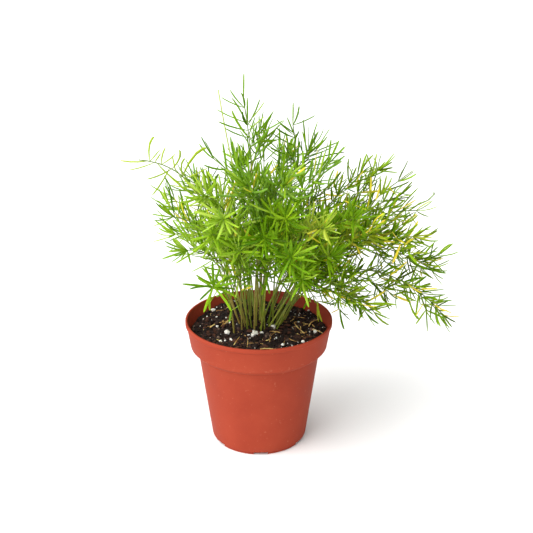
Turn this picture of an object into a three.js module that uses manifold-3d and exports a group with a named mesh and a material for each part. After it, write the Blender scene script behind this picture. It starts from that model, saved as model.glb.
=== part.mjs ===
// A potted asparagus fern: arching leafy stems of narrow needles in a four-inch grower's pot.
// Millimetres, +Z up, -Y is the front, and the origin is the centre of the pot's underside.
import * as THREE from 'three';
import { mergeVertices } from 'three/addons/utils/BufferGeometryUtils.js';
import Module from 'manifold-3d';

const wasm = await Module();
wasm.setup();

// ---------------------------------------------------------------- driving dimensions
const POT = {
  height: 89.7,
  rimRadius: 51,
  wall: 1.4,
  sides: 40,
  floor: 3,
  footRadius: 32.2,
  footHeight: 1.8,
  wallFootRadius: 33.5,
  waistRadius: 42.4, // where the tapered body meets the collar
  waistHeight: 67.2,
  collarRadius: 47.6,
  collarHeight: 71.2,
};
const DRAIN = { count: 6, firstDeg: 272, width: 9.8, innerRadius: 14, holeRadius: 3.4, holeAt: 24 };
const SOIL = { wallLevel: 81, gap: 0.35, wallGap: 0.55, rings: 8, sides: 36, grain: 1.6 };
const MOUNDS = [
  { x: 0, y: 8, height: 2.4, spread: 15 }, // the crown of the plant
  { x: -14, y: 36, height: 4.8, spread: 11 },
];
const CLUMP = { x: 0, y: 8, share: 0.08, jitter: 2.5, spacing: 3.6, rounds: 80 };
const STEM = {
  footRadius: 0.85,
  tipRadius: 0.7,
  plantedDepth: 6,
  holeRadius: 1.65,
  holeRise: 5, // how far a hole's cutter stands out of the soil
  sides: 3,
  bareStep: 14,
  leanShare: 0.3,
  sway: 8, // how far off its course the lower part of a stem may wander
  riseShare: 0.5,
  leastLift: 26,
  droopLift: 0.45, // a stem that ends downwards first climbs by this share of its reach
  holdShare: 0.36,
  clearance: 2.3,
  easeSteps: 16,
  easeRounds: 60,
};
const WHORL = {
  spacing: 11.2,
  thickness: 1.7,
  twistDeg: 50,
  fullness: 5 / 6,
  lowTiltDeg: 74,
  topTiltDeg: 46,
  leanDeg: 12,
};
const NEEDLE = {
  length: 17.5,
  shortest: 0.78,
  longest: 1.12,
  midRadius: 0.8,
  midAt: 0.5,
  bow: 0.07,
  fanDeg: 27,
  strayDeg: 14,
  thick: 0.95,
  thin: 0.75,
  clearance: 0.3,
  siblingRoom: 1.75,
  rimRoom: 2,
  soilRoom: 4.5,
  tries: 16,
};

// Each leafy stem: where its end stands, the pitch of its last stretch above the horizon in degrees,
// and the bare share of its length below the needles.
const STEMS = {
  low_left: { tip: [-30, -34, 127], pitch: 0, bare: 0.45, foot: [-17, -6] },
  front_left: { tip: [-12, -50, 158], pitch: 12, bare: 0.5, foot: [-12, -5] },
  side_left: { tip: [-47, -18, 147], pitch: 8, bare: 0.5 },
  mid_left: { tip: [-29, -47, 168], pitch: 14, bare: 0.5 },
  high_left: { tip: [-34, -38, 191], pitch: 24, bare: 0.48 },
  inner_left: { tip: [-22, -54, 181], pitch: 12, bare: 0.52 },
  crest_left: { tip: [-7, -42, 199], pitch: 32, bare: 0.5 },
  crest_right: { tip: [16, -46, 200], pitch: 28, bare: 0.5 },
  front_high: { tip: [17, -63, 184], pitch: 12, bare: 0.5 },
  front_mid: { tip: [4, -62, 171], pitch: 8, bare: 0.52 },
  front_right: { tip: [20, -67, 161], pitch: 4, bare: 0.5 },
  front_low: { tip: [27, -58, 142], pitch: 0, bare: 0.5 },
  yellow_star: { tip: [41, -49, 173], pitch: 18, bare: 0.5 },
  lower_star: { tip: [47, -45, 152], pitch: 6, bare: 0.5 },
  outer_star: { tip: [60, -38, 175], pitch: 12, bare: 0.48 },
  far_left_arch: { tip: [-79, 5, 202], pitch: 6, bare: 0.45 },
  back_left_dark: { tip: [-61, 33, 167], pitch: 22, bare: 0.5 },
  left_low: { tip: [-57, 16, 146], pitch: -4, bare: 0.5 },
  left_front: { tip: [-56, -12, 168], pitch: 14, bare: 0.5 },
  left_inner: { tip: [-48, 12, 178], pitch: 30, bare: 0.45 },
  spire: { tip: [-10, 0, 246], pitch: 80, bare: 0.45 },
  side_spire: { tip: [3, 14, 214], pitch: 72, bare: 0.45 },
  right_spire: { tip: [23, 18, 222], pitch: 100, bare: 0.45 },
  right_spire_low: { tip: [34, 24, 203], pitch: 60, bare: 0.45 },
  shoulder: { tip: [46, 4, 199], pitch: 30, bare: 0.45 },
  right_crest: { tip: [69, 20, 188], pitch: 38, bare: 0.45 },
  right_high: { tip: [82, 30, 187], pitch: 34, bare: 0.42 },
  right_far_high: { tip: [97, 34, 178], pitch: 18, bare: 0.42 },
  right_mid_high: { tip: [94, 6, 176], pitch: 16, bare: 0.42 },
  right_far: { tip: [109, 24, 160], pitch: 2, bare: 0.42 },
  right_mid: { tip: [103, -4, 151], pitch: -4, bare: 0.42 },
  right_inner: { tip: [74, -20, 158], pitch: 6, bare: 0.42 },
  right_drooping: { tip: [127, -2, 93], pitch: -52, bare: 0.4 },
  right_drooping_back: { tip: [120, 16, 120], pitch: -28, bare: 0.42 },
  right_low_front: { tip: [78, -16, 101], pitch: -40, bare: 0.42 },
  right_low_back: { tip: [94, 9, 103], pitch: -36, bare: 0.42 },
  right_low_near: { tip: [62, -30, 116], pitch: -26, bare: 0.45 },
  rim_right: { tip: [60, 6, 104], pitch: -24, bare: 0.5 },
  back_left: { tip: [-45, 56, 172], pitch: 10, bare: 0.45 },
  back: { tip: [-14, 72, 182], pitch: 14, bare: 0.45 },
  back_right: { tip: [22, 74, 186], pitch: 10, bare: 0.45 },
  back_right_low: { tip: [54, 60, 166], pitch: 2, bare: 0.45 },
  back_high: { tip: [4, 42, 206], pitch: 42, bare: 0.45 },
  back_high_left: { tip: [-30, 24, 197], pitch: 32, bare: 0.45 },
  back_far_right: { tip: [78, 52, 146], pitch: -12, bare: 0.45 },
  back_low_left: { tip: [-42, 54, 132], pitch: -14, bare: 0.4 },
  back_low: { tip: [10, 70, 142], pitch: -12, bare: 0.38 },
};
// A young stem with no needles yet.
const BARE_SHOOT = { tip: [-26, 12, 247], pitch: 89, radius: 0.65, steps: 10 };

// Dry stalks and shed needles that lie on the soil, each by two ends and its sideways bend.
const LITTER = { steps: 5, stalks: [
  { from: [1, -34], to: [13, -33], bend: 3, radius: 0.7 },
  { from: [22, 19], to: [33, 14], bend: 1, radius: 0.6 },
  { from: [25, 5], to: [35, -14], bend: -1.5, radius: 0.6 },
  { from: [35, 3], to: [43, 13], bend: 1.5, radius: 0.7 },
  { from: [37, -4], to: [44, -11], bend: 1.5, radius: 0.6 },
  { from: [-34, -1], to: [-20, 9], bend: 2, radius: 0.6 },
] };
const RESTING_GAP = 0.3;

const MATERIALS = {
  plastic: new THREE.MeshStandardMaterial({ color: 0xbb5239, roughness: 0.55, metalness: 0 }),
  soil: new THREE.MeshStandardMaterial({ color: 0x2a1d15, roughness: 1, metalness: 0 }),
  leaf: new THREE.MeshStandardMaterial({ color: 0x6ea61e, roughness: 0.5, metalness: 0 }),
  shoot: new THREE.MeshStandardMaterial({ color: 0xc3d67a, roughness: 0.5, metalness: 0 }),
  straw: new THREE.MeshStandardMaterial({ color: 0xc9a35a, roughness: 0.8, metalness: 0 }),
};

// ---------------------------------------------------------------- helpers
const vec = (x, y, z) => new THREE.Vector3(x, y, z);
const rad = THREE.MathUtils.degToRad;

// A repeatable draw from 0 to 1 for a set of whole numbers.
function chance(a, b = 0, c = 0) {
  const s = Math.sin(a * 12.9898 + b * 78.233 + c * 37.719 + 4.1) * 43758.5453;
  return s - Math.floor(s);
}

function meshOf(points, faces) {
  const geometry = new THREE.BufferGeometry();
  geometry.setAttribute('position', new THREE.Float32BufferAttribute(points.flatMap((p) => p.toArray()), 3));
  geometry.setIndex(faces.flat());
  return geometry;
}

function solidOf(geometry) {
  const bare = geometry.clone();
  bare.deleteAttribute('normal');
  bare.deleteAttribute('uv');
  const merged = mergeVertices(bare, 1e-4);
  return new wasm.Manifold(new wasm.Mesh({
    numProp: 3,
    vertProperties: merged.attributes.position.array,
    triVerts: new Uint32Array(merged.index.array),
  }));
}

function geometryOf(solid) {
  const mesh = solid.getMesh();
  const geometry = new THREE.BufferGeometry();
  geometry.setAttribute('position', new THREE.Float32BufferAttribute(mesh.vertProperties, 3));
  geometry.setIndex(new THREE.Uint32BufferAttribute(mesh.triVerts, 1));
  return geometry;
}

// The shortest distance between segments p-q and r-s.
function segmentDistance(p, q, r, s) {
  const d1 = q.clone().sub(p);
  const d2 = s.clone().sub(r);
  const between = p.clone().sub(r);
  const a = d1.dot(d1);
  const e = d2.dot(d2);
  const b = d1.dot(d2);
  const c = d1.dot(between);
  const f = d2.dot(between);
  const denominator = a * e - b * b;
  const clamp = THREE.MathUtils.clamp;
  let s1 = denominator > 1e-9 ? clamp((b * f - c * e) / denominator, 0, 1) : 0;
  const t1 = clamp((b * s1 + f) / e, 0, 1);
  s1 = clamp((b * t1 - c) / a, 0, 1);
  return p.clone().addScaledVector(d1, s1).distanceTo(r.clone().addScaledVector(d2, t1));
}

// ---------------------------------------------------------------- pot
function pot() {
  const { wall } = POT;
  const outline = [
    [0, 0],
    [POT.footRadius, 0],
    [POT.footRadius, POT.footHeight],
    [POT.wallFootRadius - 0.7, POT.footHeight],
    [POT.wallFootRadius, POT.footHeight + 0.8],
    [POT.waistRadius, POT.waistHeight],
    [POT.waistRadius + 0.9, POT.waistHeight + 0.3],
    [POT.collarRadius - 1.5, POT.collarHeight - 1.6],
    [POT.collarRadius, POT.collarHeight],
    [POT.rimRadius - 0.9, POT.height - 3.4],
    [POT.rimRadius, POT.height - 2.8],
    [POT.rimRadius, POT.height - 0.5],
    [POT.rimRadius - 0.5, POT.height],
    [POT.rimRadius - wall, POT.height],
    [POT.rimRadius - wall - 0.4, POT.height - 0.5],
    [POT.collarRadius - wall - 0.3, POT.collarHeight + 0.5],
    [POT.waistRadius - wall, POT.waistHeight + 0.4],
    [POT.wallFootRadius - wall - 0.2, POT.floor],
    [0, POT.floor],
  ].map(([r, z]) => new THREE.Vector2(r, z));
  const shell = new THREE.LatheGeometry(outline, POT.sides).rotateX(Math.PI / 2);
  let body = solidOf(shell);
  for (let i = 0; i < DRAIN.count; i += 1) {
    const turn = rad(DRAIN.firstDeg + (360 / DRAIN.count) * i);
    const reach = POT.wallFootRadius + 4 - DRAIN.innerRadius;
    const channel = new THREE.BoxGeometry(reach, DRAIN.width, POT.footHeight * 2)
      .translate(DRAIN.innerRadius + reach / 2, 0, 0)
      .rotateZ(turn);
    const hole = new THREE.CylinderGeometry(DRAIN.holeRadius, DRAIN.holeRadius, POT.floor * 3, 12)
      .rotateX(Math.PI / 2)
      .translate(DRAIN.holeAt, 0, 0)
      .rotateZ(turn);
    body = body.subtract(solidOf(channel)).subtract(solidOf(hole));
  }
  return geometryOf(body);
}

// The radius of the pot's inside at a height.
function insideRadius(z) {
  const stations = [
    [POT.floor, POT.wallFootRadius - POT.wall - 0.2],
    [POT.waistHeight + 0.4, POT.waistRadius - POT.wall],
    [POT.collarHeight + 0.5, POT.collarRadius - POT.wall - 0.3],
    [POT.height - 0.5, POT.rimRadius - POT.wall - 0.4],
  ];
  const above = stations.findIndex(([height]) => height >= z);
  const i = THREE.MathUtils.clamp(above, 1, stations.length - 1);
  const [z0, r0] = stations[i - 1];
  const [z1, r1] = stations[i];
  return r0 + ((r1 - r0) * (z - z0)) / (z1 - z0);
}

// ---------------------------------------------------------------- soil
function soilLevel(x, y) {
  const mounds = MOUNDS.reduce(
    (sum, m) => sum + m.height * Math.exp(-((x - m.x) ** 2 + (y - m.y) ** 2) / (2 * m.spread ** 2)),
    0,
  );
  const lumps = 0.7 * Math.sin(0.43 * x + 1.3) * Math.sin(0.39 * y + 0.4) + 0.4 * Math.sin(0.7 * x - 0.6 * y);
  return SOIL.wallLevel + mounds + lumps;
}

function soilBlock() {
  const points = [];
  const faces = [];
  const ringAt = (radiusOf, heightOf) => {
    const first = points.length;
    for (let i = 0; i < SOIL.sides; i += 1) {
      const a = (i / SOIL.sides) * 2 * Math.PI;
      const r = radiusOf(i);
      points.push(vec(r * Math.cos(a), r * Math.sin(a), heightOf(r * Math.cos(a), r * Math.sin(a), i)));
    }
    return first;
  };
  const join = (a, b) => {
    for (let i = 0; i < SOIL.sides; i += 1) {
      const j = (i + 1) % SOIL.sides;
      faces.push([a + i, a + j, b + j], [a + i, b + j, b + i]);
    }
  };
  const bottom = POT.floor + SOIL.gap;
  const sideHeights = [bottom, POT.waistHeight + 0.4, POT.collarHeight + 0.9];
  const rings = sideHeights.map((z) => ringAt(() => insideRadius(z) - SOIL.wallGap, () => z));
  const edge = insideRadius(SOIL.wallLevel) - SOIL.wallGap;
  for (let k = SOIL.rings; k >= 1; k -= 1) {
    const share = k / SOIL.rings;
    rings.push(ringAt(
      () => edge * share,
      (x, y, i) => soilLevel(x, y) + (k === SOIL.rings ? 0 : SOIL.grain * (chance(i, k, 7) - 0.5)),
    ));
  }
  for (let k = 1; k < rings.length; k += 1) join(rings[k - 1], rings[k]);
  const base = points.push(vec(0, 0, bottom)) - 1;
  const top = points.push(vec(0, 0, soilLevel(0, 0))) - 1;
  const last = rings[rings.length - 1];
  for (let i = 0; i < SOIL.sides; i += 1) {
    const j = (i + 1) % SOIL.sides;
    faces.push([base, rings[0] + j, rings[0] + i], [top, last + i, last + j]);
  }
  return solidOf(meshOf(points, faces));
}

// ---------------------------------------------------------------- stems
function heading(azimuth, pitch) {
  return vec(Math.cos(azimuth) * Math.cos(pitch), Math.sin(azimuth) * Math.cos(pitch), Math.sin(pitch));
}

// The centreline of a stem: straight up out of its hole, then over in one arch to its end.
function stemCurve(stem) {
  const [fx, fy] = stem.foot;
  const foot = vec(fx, fy, soilLevel(fx, fy) - STEM.plantedDepth);
  const tip = vec(...stem.tip);
  const outward = Math.atan2(tip.y - fy, tip.x - fx);
  const reach = Math.hypot(tip.x - fx, tip.y - fy);
  const lean = heading(outward, 0).multiplyScalar(reach * STEM.leanShare);
  const droop = stem.pitch < 0 ? reach * STEM.droopLift : 0;
  const lift = Math.max((tip.z - foot.z) * STEM.riseShare, STEM.leastLift) + droop;
  const hold = foot.distanceTo(tip) * STEM.holdShare;
  return new THREE.CubicBezierCurve3(
    foot,
    foot.clone().add(lean).add(stem.sway).add(vec(stem.shift.x, stem.shift.y, lift)),
    tip.clone().addScaledVector(heading(outward, rad(stem.pitch)), -hold).add(stem.shift),
    tip,
  );
}

// Feet stand in a clump, each on the side that its stem leans to, and are eased apart.
function plantFeet(stems) {
  stems.forEach((stem, i) => {
    const stray = (n) => 2 * chance(i, n) - 1;
    stem.sway = vec(STEM.sway * stray(6), STEM.sway * stray(7), 0);
    if (stem.foot) return;
    stem.foot = [
      CLUMP.x + (stem.tip[0] - CLUMP.x) * CLUMP.share + CLUMP.jitter * stray(1),
      CLUMP.y + (stem.tip[1] - CLUMP.y) * CLUMP.share + CLUMP.jitter * stray(2),
    ];
  });
  for (let round = 0; round < CLUMP.rounds; round += 1) {
    stems.forEach((a, i) => stems.slice(i + 1).forEach((b) => {
      const dx = a.foot[0] - b.foot[0];
      const dy = a.foot[1] - b.foot[1];
      const d = Math.hypot(dx, dy) || 0.01;
      const push = (CLUMP.spacing - d) / 2;
      if (push <= 0) return;
      a.foot = [a.foot[0] + (dx / d) * push, a.foot[1] + (dy / d) * push];
      b.foot = [b.foot[0] - (dx / d) * push, b.foot[1] - (dy / d) * push];
    }));
  }
}

// Where two lines of points come nearer than the clearance, the push that parts them, or null.
function pushApart(line, other) {
  for (let m = 1; m < line.length; m += 1) {
    for (let n = 1; n < other.length; n += 1) {
      const gap = segmentDistance(line[m - 1], line[m], other[n - 1], other[n]);
      if (gap < STEM.clearance) {
        const away = line[m - 1].clone().add(line[m]).sub(other[n - 1]).sub(other[n]);
        return away.setLength(STEM.clearance - gap + 0.1);
      }
    }
  }
  return null;
}

// Bends stems that would touch clear of each other.
function easeApart(stems) {
  for (let round = 0; round < STEM.easeRounds; round += 1) {
    const lines = stems.map((stem) => stemCurve(stem).getSpacedPoints(STEM.easeSteps));
    let touching = false;
    stems.forEach((a, i) => stems.forEach((b, j) => {
      const push = j > i ? pushApart(lines[i], lines[j]) : null;
      if (!push) return;
      touching = true;
      a.shift.add(push);
      b.shift.sub(push);
    }));
    if (!touching) return;
  }
}

// ---------------------------------------------------------------- needles
const taken = []; // the rods of space that growth has already filled
const STEM_LINE = -1; // marks the rods of a stem itself, in place of a whorl's number

function rod(a, b, radius, stem, whorl, atRoot = false) {
  return { a, b, radius, stem, whorl, atRoot, middle: a.clone().lerp(b, 0.5), half: a.distanceTo(b) / 2 };
}

function clearOfPot(p) {
  const r = Math.hypot(p.x, p.y);
  const overWall = r > insideRadius(p.z) - NEEDLE.rimRoom && r < POT.rimRadius + NEEDLE.rimRoom;
  if (p.z < POT.height + NEEDLE.rimRoom && overWall) return false;
  return r > POT.rimRadius || p.z > soilLevel(p.x, p.y) + NEEDLE.soilRoom;
}

function clearOfGrowth(mine) {
  return taken.every((other) => {
    const sameStem = other.stem === mine.stem;
    const siblings = sameStem && other.whorl === mine.whorl;
    if (sameStem && other.whorl === STEM_LINE) return true;
    if (siblings && (mine.atRoot || other.atRoot)) return true;
    const room = siblings ? NEEDLE.siblingRoom : mine.radius + other.radius + NEEDLE.clearance;
    if (mine.middle.distanceTo(other.middle) > mine.half + other.half + room) return true;
    return segmentDistance(mine.a, mine.b, other.a, other.b) >= room;
  });
}

// Draws out one face of a stem into a three-sided needle with a bowed middle.
function sprout(points, faces, face, direction, length) {
  const corners = face.map((i) => points[i]);
  const root = corners[0].clone().add(corners[1]).add(corners[2]).divideScalar(3);
  const across = Math.abs(direction.z) < 0.9 ? vec(0, 0, 1) : vec(1, 0, 0);
  const side = across.cross(direction).normalize();
  const up = direction.clone().cross(side);
  const middle = root.clone().addScaledVector(direction, length * NEEDLE.midAt)
    .addScaledVector(up, length * NEEDLE.bow);
  let sx = 0;
  let sy = 0;
  corners.forEach((corner, i) => {
    const out = corner.clone().sub(root);
    const angle = Math.atan2(out.dot(up), out.dot(side)) - (i * 2 * Math.PI) / 3;
    sx += Math.cos(angle);
    sy += Math.sin(angle);
  });
  const turn = Math.atan2(sy, sx);
  const ring = [0, 1, 2].map((i) => {
    const angle = turn + (i * 2 * Math.PI) / 3;
    return points.push(middle.clone()
      .addScaledVector(side, NEEDLE.midRadius * Math.cos(angle))
      .addScaledVector(up, NEEDLE.midRadius * Math.sin(angle))) - 1;
  });
  const tip = points.push(root.clone().addScaledVector(direction, length)) - 1;
  for (let i = 0; i < 3; i += 1) {
    const j = (i + 1) % 3;
    faces.push([face[i], face[j], ring[j]], [face[i], ring[j], ring[i]], [ring[i], ring[j], tip]);
  }
}

// Tries directions for a needle until one is clear of the pot and of all other growth.
function clearNeedle(root, draw, stem, whorl) {
  for (let attempt = 0; attempt < NEEDLE.tries; attempt += 1) {
    const { direction, length } = draw(attempt);
    const at = (share) => root.clone().addScaledVector(direction, length * share);
    const rods = [
      rod(at(0.04), at(0.3), NEEDLE.thick, stem, whorl, true),
      rod(at(0.3), at(NEEDLE.midAt), NEEDLE.thick, stem, whorl),
      rod(at(NEEDLE.midAt), at(1.02), NEEDLE.thin, stem, whorl),
    ];
    const free = [0.3, 0.65, 1].every((share) => clearOfPot(at(share))) && rods.every(clearOfGrowth);
    if (!free) continue;
    taken.push(...rods);
    return { direction, length };
  }
  return null;
}

// Where a leafy stem's rings stand, as lengths from its foot: a few on the bare part, then two a whorl.
function ringStations(length, bare) {
  const leafStart = length * bare;
  const bareRings = Math.max(3, Math.round(leafStart / STEM.bareStep));
  const stations = [];
  for (let i = 0; i < bareRings; i += 1) stations.push({ at: (leafStart * i) / bareRings, isWhorl: false });
  const whorls = Math.max(3, Math.floor((length - leafStart) / WHORL.spacing));
  const step = (length - leafStart - WHORL.thickness) / (whorls - 1);
  for (let i = 0; i < whorls; i += 1) {
    const at = leafStart + Math.min(i * step, length - leafStart - WHORL.thickness - 0.5);
    stations.push({ at, isWhorl: true }, { at: at + WHORL.thickness, isWhorl: false });
  }
  return stations;
}

// The rings of a stem's three-sided tube, each with its directions and the numbers of its corner points.
function stemRings(stem, id, points) {
  const curve = stemCurve(stem);
  const length = curve.getLength();
  let normal = vec(1, 0, 0);
  let twist = chance(id, 3) * 2 * Math.PI;
  return ringStations(length, stem.bare).map(({ at, isWhorl }, index) => {
    const u = at / length;
    const centre = curve.getPointAt(u);
    const along = curve.getTangentAt(u);
    normal = normal.clone().addScaledVector(along, -normal.dot(along)).normalize();
    const binormal = along.clone().cross(normal);
    if (isWhorl) twist += rad(WHORL.twistDeg);
    const radius = THREE.MathUtils.lerp(STEM.footRadius, STEM.tipRadius, u);
    const corners = [0, 1, 2].map((k) => {
      const a = twist + (k * 2 * Math.PI) / STEM.sides;
      return points.push(centre.clone()
        .addScaledVector(normal, radius * Math.cos(a))
        .addScaledVector(binormal, radius * Math.sin(a))) - 1;
    });
    const leafShare = (u - stem.bare) / (1 - stem.bare);
    return { centre, along, normal, binormal, twist, corners, leafShare, index, isWhorl };
  });
}

// One leafy stem as a single closed body: a three-sided tube whose whorl faces are drawn out into needles.
function leafyStem(stem, id) {
  const points = [];
  const rings = stemRings(stem, id, points);
  const faces = [[...rings[0].corners].reverse()];
  for (let i = 1; i < rings.length; i += 1) {
    const below = rings[i - 1];
    const [a, b] = [below.corners, rings[i].corners];
    for (let slot = 0; slot < 2 * STEM.sides; slot += 1) {
      const k = slot >> 1;
      const m = (k + 1) % STEM.sides;
      const face = slot % 2 ? [a[k], b[m], b[k]] : [a[k], a[m], b[m]];
      const wanted = below.isWhorl && chance(id, i, slot + 20) < WHORL.fullness;
      if (!wanted || !sideNeedle(points, faces, face, below, slot, id)) faces.push(face);
    }
  }
  endNeedle(points, faces, rings[rings.length - 1], id);
  return meshOf(points, faces);
}

// A needle that leaves one face of a whorl, fanned out to the face's own side.
function sideNeedle(points, faces, face, ring, slot, id) {
  const root = face.reduce((sum, i) => sum.add(points[i]), vec(0, 0, 0)).divideScalar(3);
  const faceDeg = 60 + 120 * (slot >> 1) + (slot % 2 ? -1 : 1) * NEEDLE.fanDeg;
  const uprightDeg = THREE.MathUtils.lerp(WHORL.lowTiltDeg, WHORL.topTiltDeg, ring.leafShare);
  const size = THREE.MathUtils.lerp(NEEDLE.shortest, NEEDLE.longest, chance(id, ring.index, slot + 3));
  const found = clearNeedle(root, (n) => {
    const spin = ring.twist + rad(faceDeg + NEEDLE.strayDeg * (2 * chance(id * 7 + n, ring.index, slot) - 1));
    const tilt = rad(uprightDeg + WHORL.leanDeg * (2 * chance(id * 11 + n, ring.index, slot + 9) - 1));
    const direction = ring.along.clone().multiplyScalar(Math.cos(tilt))
      .addScaledVector(ring.normal, Math.sin(tilt) * Math.cos(spin))
      .addScaledVector(ring.binormal, Math.sin(tilt) * Math.sin(spin));
    return { direction, length: NEEDLE.length * size * (1 - 0.015 * n) };
  }, id, ring.index);
  if (found) sprout(points, faces, face, found.direction, found.length);
  return Boolean(found);
}

// The needle that ends a stem, or a plain cap where there is no room for one.
function endNeedle(points, faces, ring, id) {
  const found = clearNeedle(ring.centre, (n) => ({
    direction: ring.along.clone().add(vec(0, 0, 0.05 * n)).normalize(),
    length: NEEDLE.length * (0.95 - 0.04 * n),
  }), id, ring.index);
  if (found) sprout(points, faces, ring.corners, found.direction, found.length);
  else faces.push(ring.corners);
}

// ---------------------------------------------------------------- bare shoot, litter and holes
function tubeAlong(path, radius, sides, steps) {
  const corner = (i) => {
    const a = ((i + 0.5) * 2 * Math.PI) / sides;
    return new THREE.Vector2(radius * Math.cos(a), radius * Math.sin(a));
  };
  const section = new THREE.Shape(Array.from({ length: sides }, (_, i) => corner(i)));
  return new THREE.ExtrudeGeometry(section, { steps, extrudePath: path, bevelEnabled: false });
}

function stemHole(stem) {
  const curve = stemCurve(stem);
  const mouth = curve.getPointAt((STEM.plantedDepth + STEM.holeRise) / curve.getLength());
  const floor = curve.getPointAt(0);
  floor.z -= SOIL.gap;
  return tubeAlong(new THREE.LineCurve3(floor, mouth), STEM.holeRadius, 4, 1);
}

// The height of the soil's surface at a place.
function surfaceHeight(surface, x, y) {
  const down = new THREE.Raycaster(vec(x, y, 2 * POT.height), vec(0, 0, -1));
  return down.intersectObject(surface)[0].point.z;
}

// A dry stalk follows the soil below it, and is lifted as a whole until no grain reaches into it.
function dryStalk(stalk, surface) {
  const from = new THREE.Vector2(...stalk.from);
  const to = new THREE.Vector2(...stalk.to);
  const aside = to.clone().sub(from).rotateAround(new THREE.Vector2(), Math.PI / 2).normalize();
  const clear = stalk.radius + RESTING_GAP;
  const places = Array.from({ length: LITTER.steps + 1 }, (_, i) => {
    const t = i / LITTER.steps;
    const place = from.clone().lerp(to, t).addScaledVector(aside, stalk.bend * Math.sin(Math.PI * t));
    return vec(place.x, place.y, surfaceHeight(surface, place.x, place.y) + clear);
  });
  const line = new THREE.CatmullRomCurve3(places).getSpacedPoints(LITTER.steps * 8);
  const beside = [[0, 0], [1, 0], [-1, 0], [0, 1], [0, -1]].map((d) => d.map((n) => n * stalk.radius * 0.7));
  const lift = Math.max(...line.flatMap((p) => beside.map(
    ([dx, dy]) => surfaceHeight(surface, p.x + dx, p.y + dy) + clear - p.z,
  )));
  places.forEach((p) => { p.z += lift; });
  return tubeAlong(new THREE.CatmullRomCurve3(places), stalk.radius, 4, LITTER.steps);
}

// ---------------------------------------------------------------- assembly
function assemble() {
  const group = new THREE.Group();
  const add = (name, geometry, material) => {
    const mesh = new THREE.Mesh(geometry, material);
    mesh.name = name;
    group.add(mesh);
    return mesh;
  };
  const shoot = { ...BARE_SHOOT };
  const all = [...Object.values(STEMS), shoot];
  all.forEach((stem) => { stem.shift = vec(0, 0, 0); });
  plantFeet(all);
  easeApart(all);

  all.forEach((stem, id) => {
    const line = stemCurve(stem).getSpacedPoints(STEM.easeSteps);
    for (let i = 1; i < line.length; i += 1) {
      taken.push(rod(line[i - 1], line[i], STEM.footRadius, id, STEM_LINE));
    }
  });
  const soil = all.reduce((block, stem) => block.subtract(solidOf(stemHole(stem))), soilBlock());

  add('pot', pot(), MATERIALS.plastic);
  const surface = add('soil', geometryOf(soil), MATERIALS.soil);
  Object.entries(STEMS).forEach(([name, stem], id) => {
    add(`stem_${name}`, leafyStem(stem, id), MATERIALS.leaf);
  });
  add('bare_shoot', tubeAlong(stemCurve(shoot), shoot.radius, 4, shoot.steps), MATERIALS.shoot);
  LITTER.stalks.forEach((stalk, i) => add(`dry_stalk_${i + 1}`, dryStalk(stalk, surface), MATERIALS.straw));
  return group;
}

export default assemble();
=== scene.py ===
import math
import random

import bpy
import numpy as np
from mathutils import Matrix, Vector, noise


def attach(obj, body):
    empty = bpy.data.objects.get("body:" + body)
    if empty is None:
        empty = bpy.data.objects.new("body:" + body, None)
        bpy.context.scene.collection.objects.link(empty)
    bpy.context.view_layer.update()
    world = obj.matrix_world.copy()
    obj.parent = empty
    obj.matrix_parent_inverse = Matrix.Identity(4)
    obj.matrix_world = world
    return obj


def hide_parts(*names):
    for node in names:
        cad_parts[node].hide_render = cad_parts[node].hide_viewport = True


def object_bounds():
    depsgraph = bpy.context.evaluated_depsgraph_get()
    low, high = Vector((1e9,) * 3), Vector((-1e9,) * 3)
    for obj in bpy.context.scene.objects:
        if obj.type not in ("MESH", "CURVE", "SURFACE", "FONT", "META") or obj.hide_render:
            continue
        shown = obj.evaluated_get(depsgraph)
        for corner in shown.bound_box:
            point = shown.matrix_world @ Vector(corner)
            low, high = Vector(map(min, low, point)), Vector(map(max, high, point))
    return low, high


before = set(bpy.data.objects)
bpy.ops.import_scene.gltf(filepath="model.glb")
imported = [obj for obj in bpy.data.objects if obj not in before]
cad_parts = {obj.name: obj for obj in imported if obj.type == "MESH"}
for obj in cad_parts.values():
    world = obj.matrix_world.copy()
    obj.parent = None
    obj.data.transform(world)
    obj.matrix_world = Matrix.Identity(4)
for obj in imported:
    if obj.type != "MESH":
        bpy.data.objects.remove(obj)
cadBox = [list(corner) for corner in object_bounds()]
mm = 0.001
fullTurn = 2 * math.pi
upward = Vector((0, 0, 1))
print("frame loaded:", len(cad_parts), "solids")


# what every piece uses

def pick(*objects):
    bpy.ops.object.select_all(action="DESELECT")
    for obj in objects:
        obj.select_set(True)
    if objects:
        bpy.context.view_layer.objects.active = objects[0]


def rename(name):
    obj = bpy.context.object
    obj.name = obj.data.name = name
    return obj


def startEdit(obj):
    pick(obj)
    bpy.ops.object.mode_set(mode="EDIT")
    bpy.ops.mesh.select_all(action="SELECT")


def endEdit(weld=0):
    bpy.ops.mesh.select_all(action="SELECT")
    if weld:
        bpy.ops.mesh.remove_doubles(threshold=weld)
    bpy.ops.mesh.normals_make_consistent(inside=False)
    bpy.ops.object.mode_set(mode="OBJECT")


def applyModifier(obj, kind, **settings):
    pick(obj)
    modifier = obj.modifiers.new(kind.title(), kind)
    for key, value in settings.items():
        setattr(modifier, key, value)
    bpy.ops.object.modifier_apply(modifier=modifier.name)


def settle(obj):
    pick(obj)
    bpy.ops.object.transform_apply(location=True, rotation=True, scale=True)


def smooth(obj, degrees):
    pick(obj)
    bpy.ops.object.shade_smooth_by_angle(angle=math.radians(degrees))


def coat(obj, material):
    obj.data.materials.clear()
    obj.data.materials.append(material)


def joinAll(name, parts):
    bpy.context.view_layer.update()
    pick(*parts)
    bpy.ops.object.join()
    return rename(name)


def dress(piece, slotName, *nodes):
    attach(piece, "root")
    if nodes:
        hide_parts(*nodes)


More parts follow.
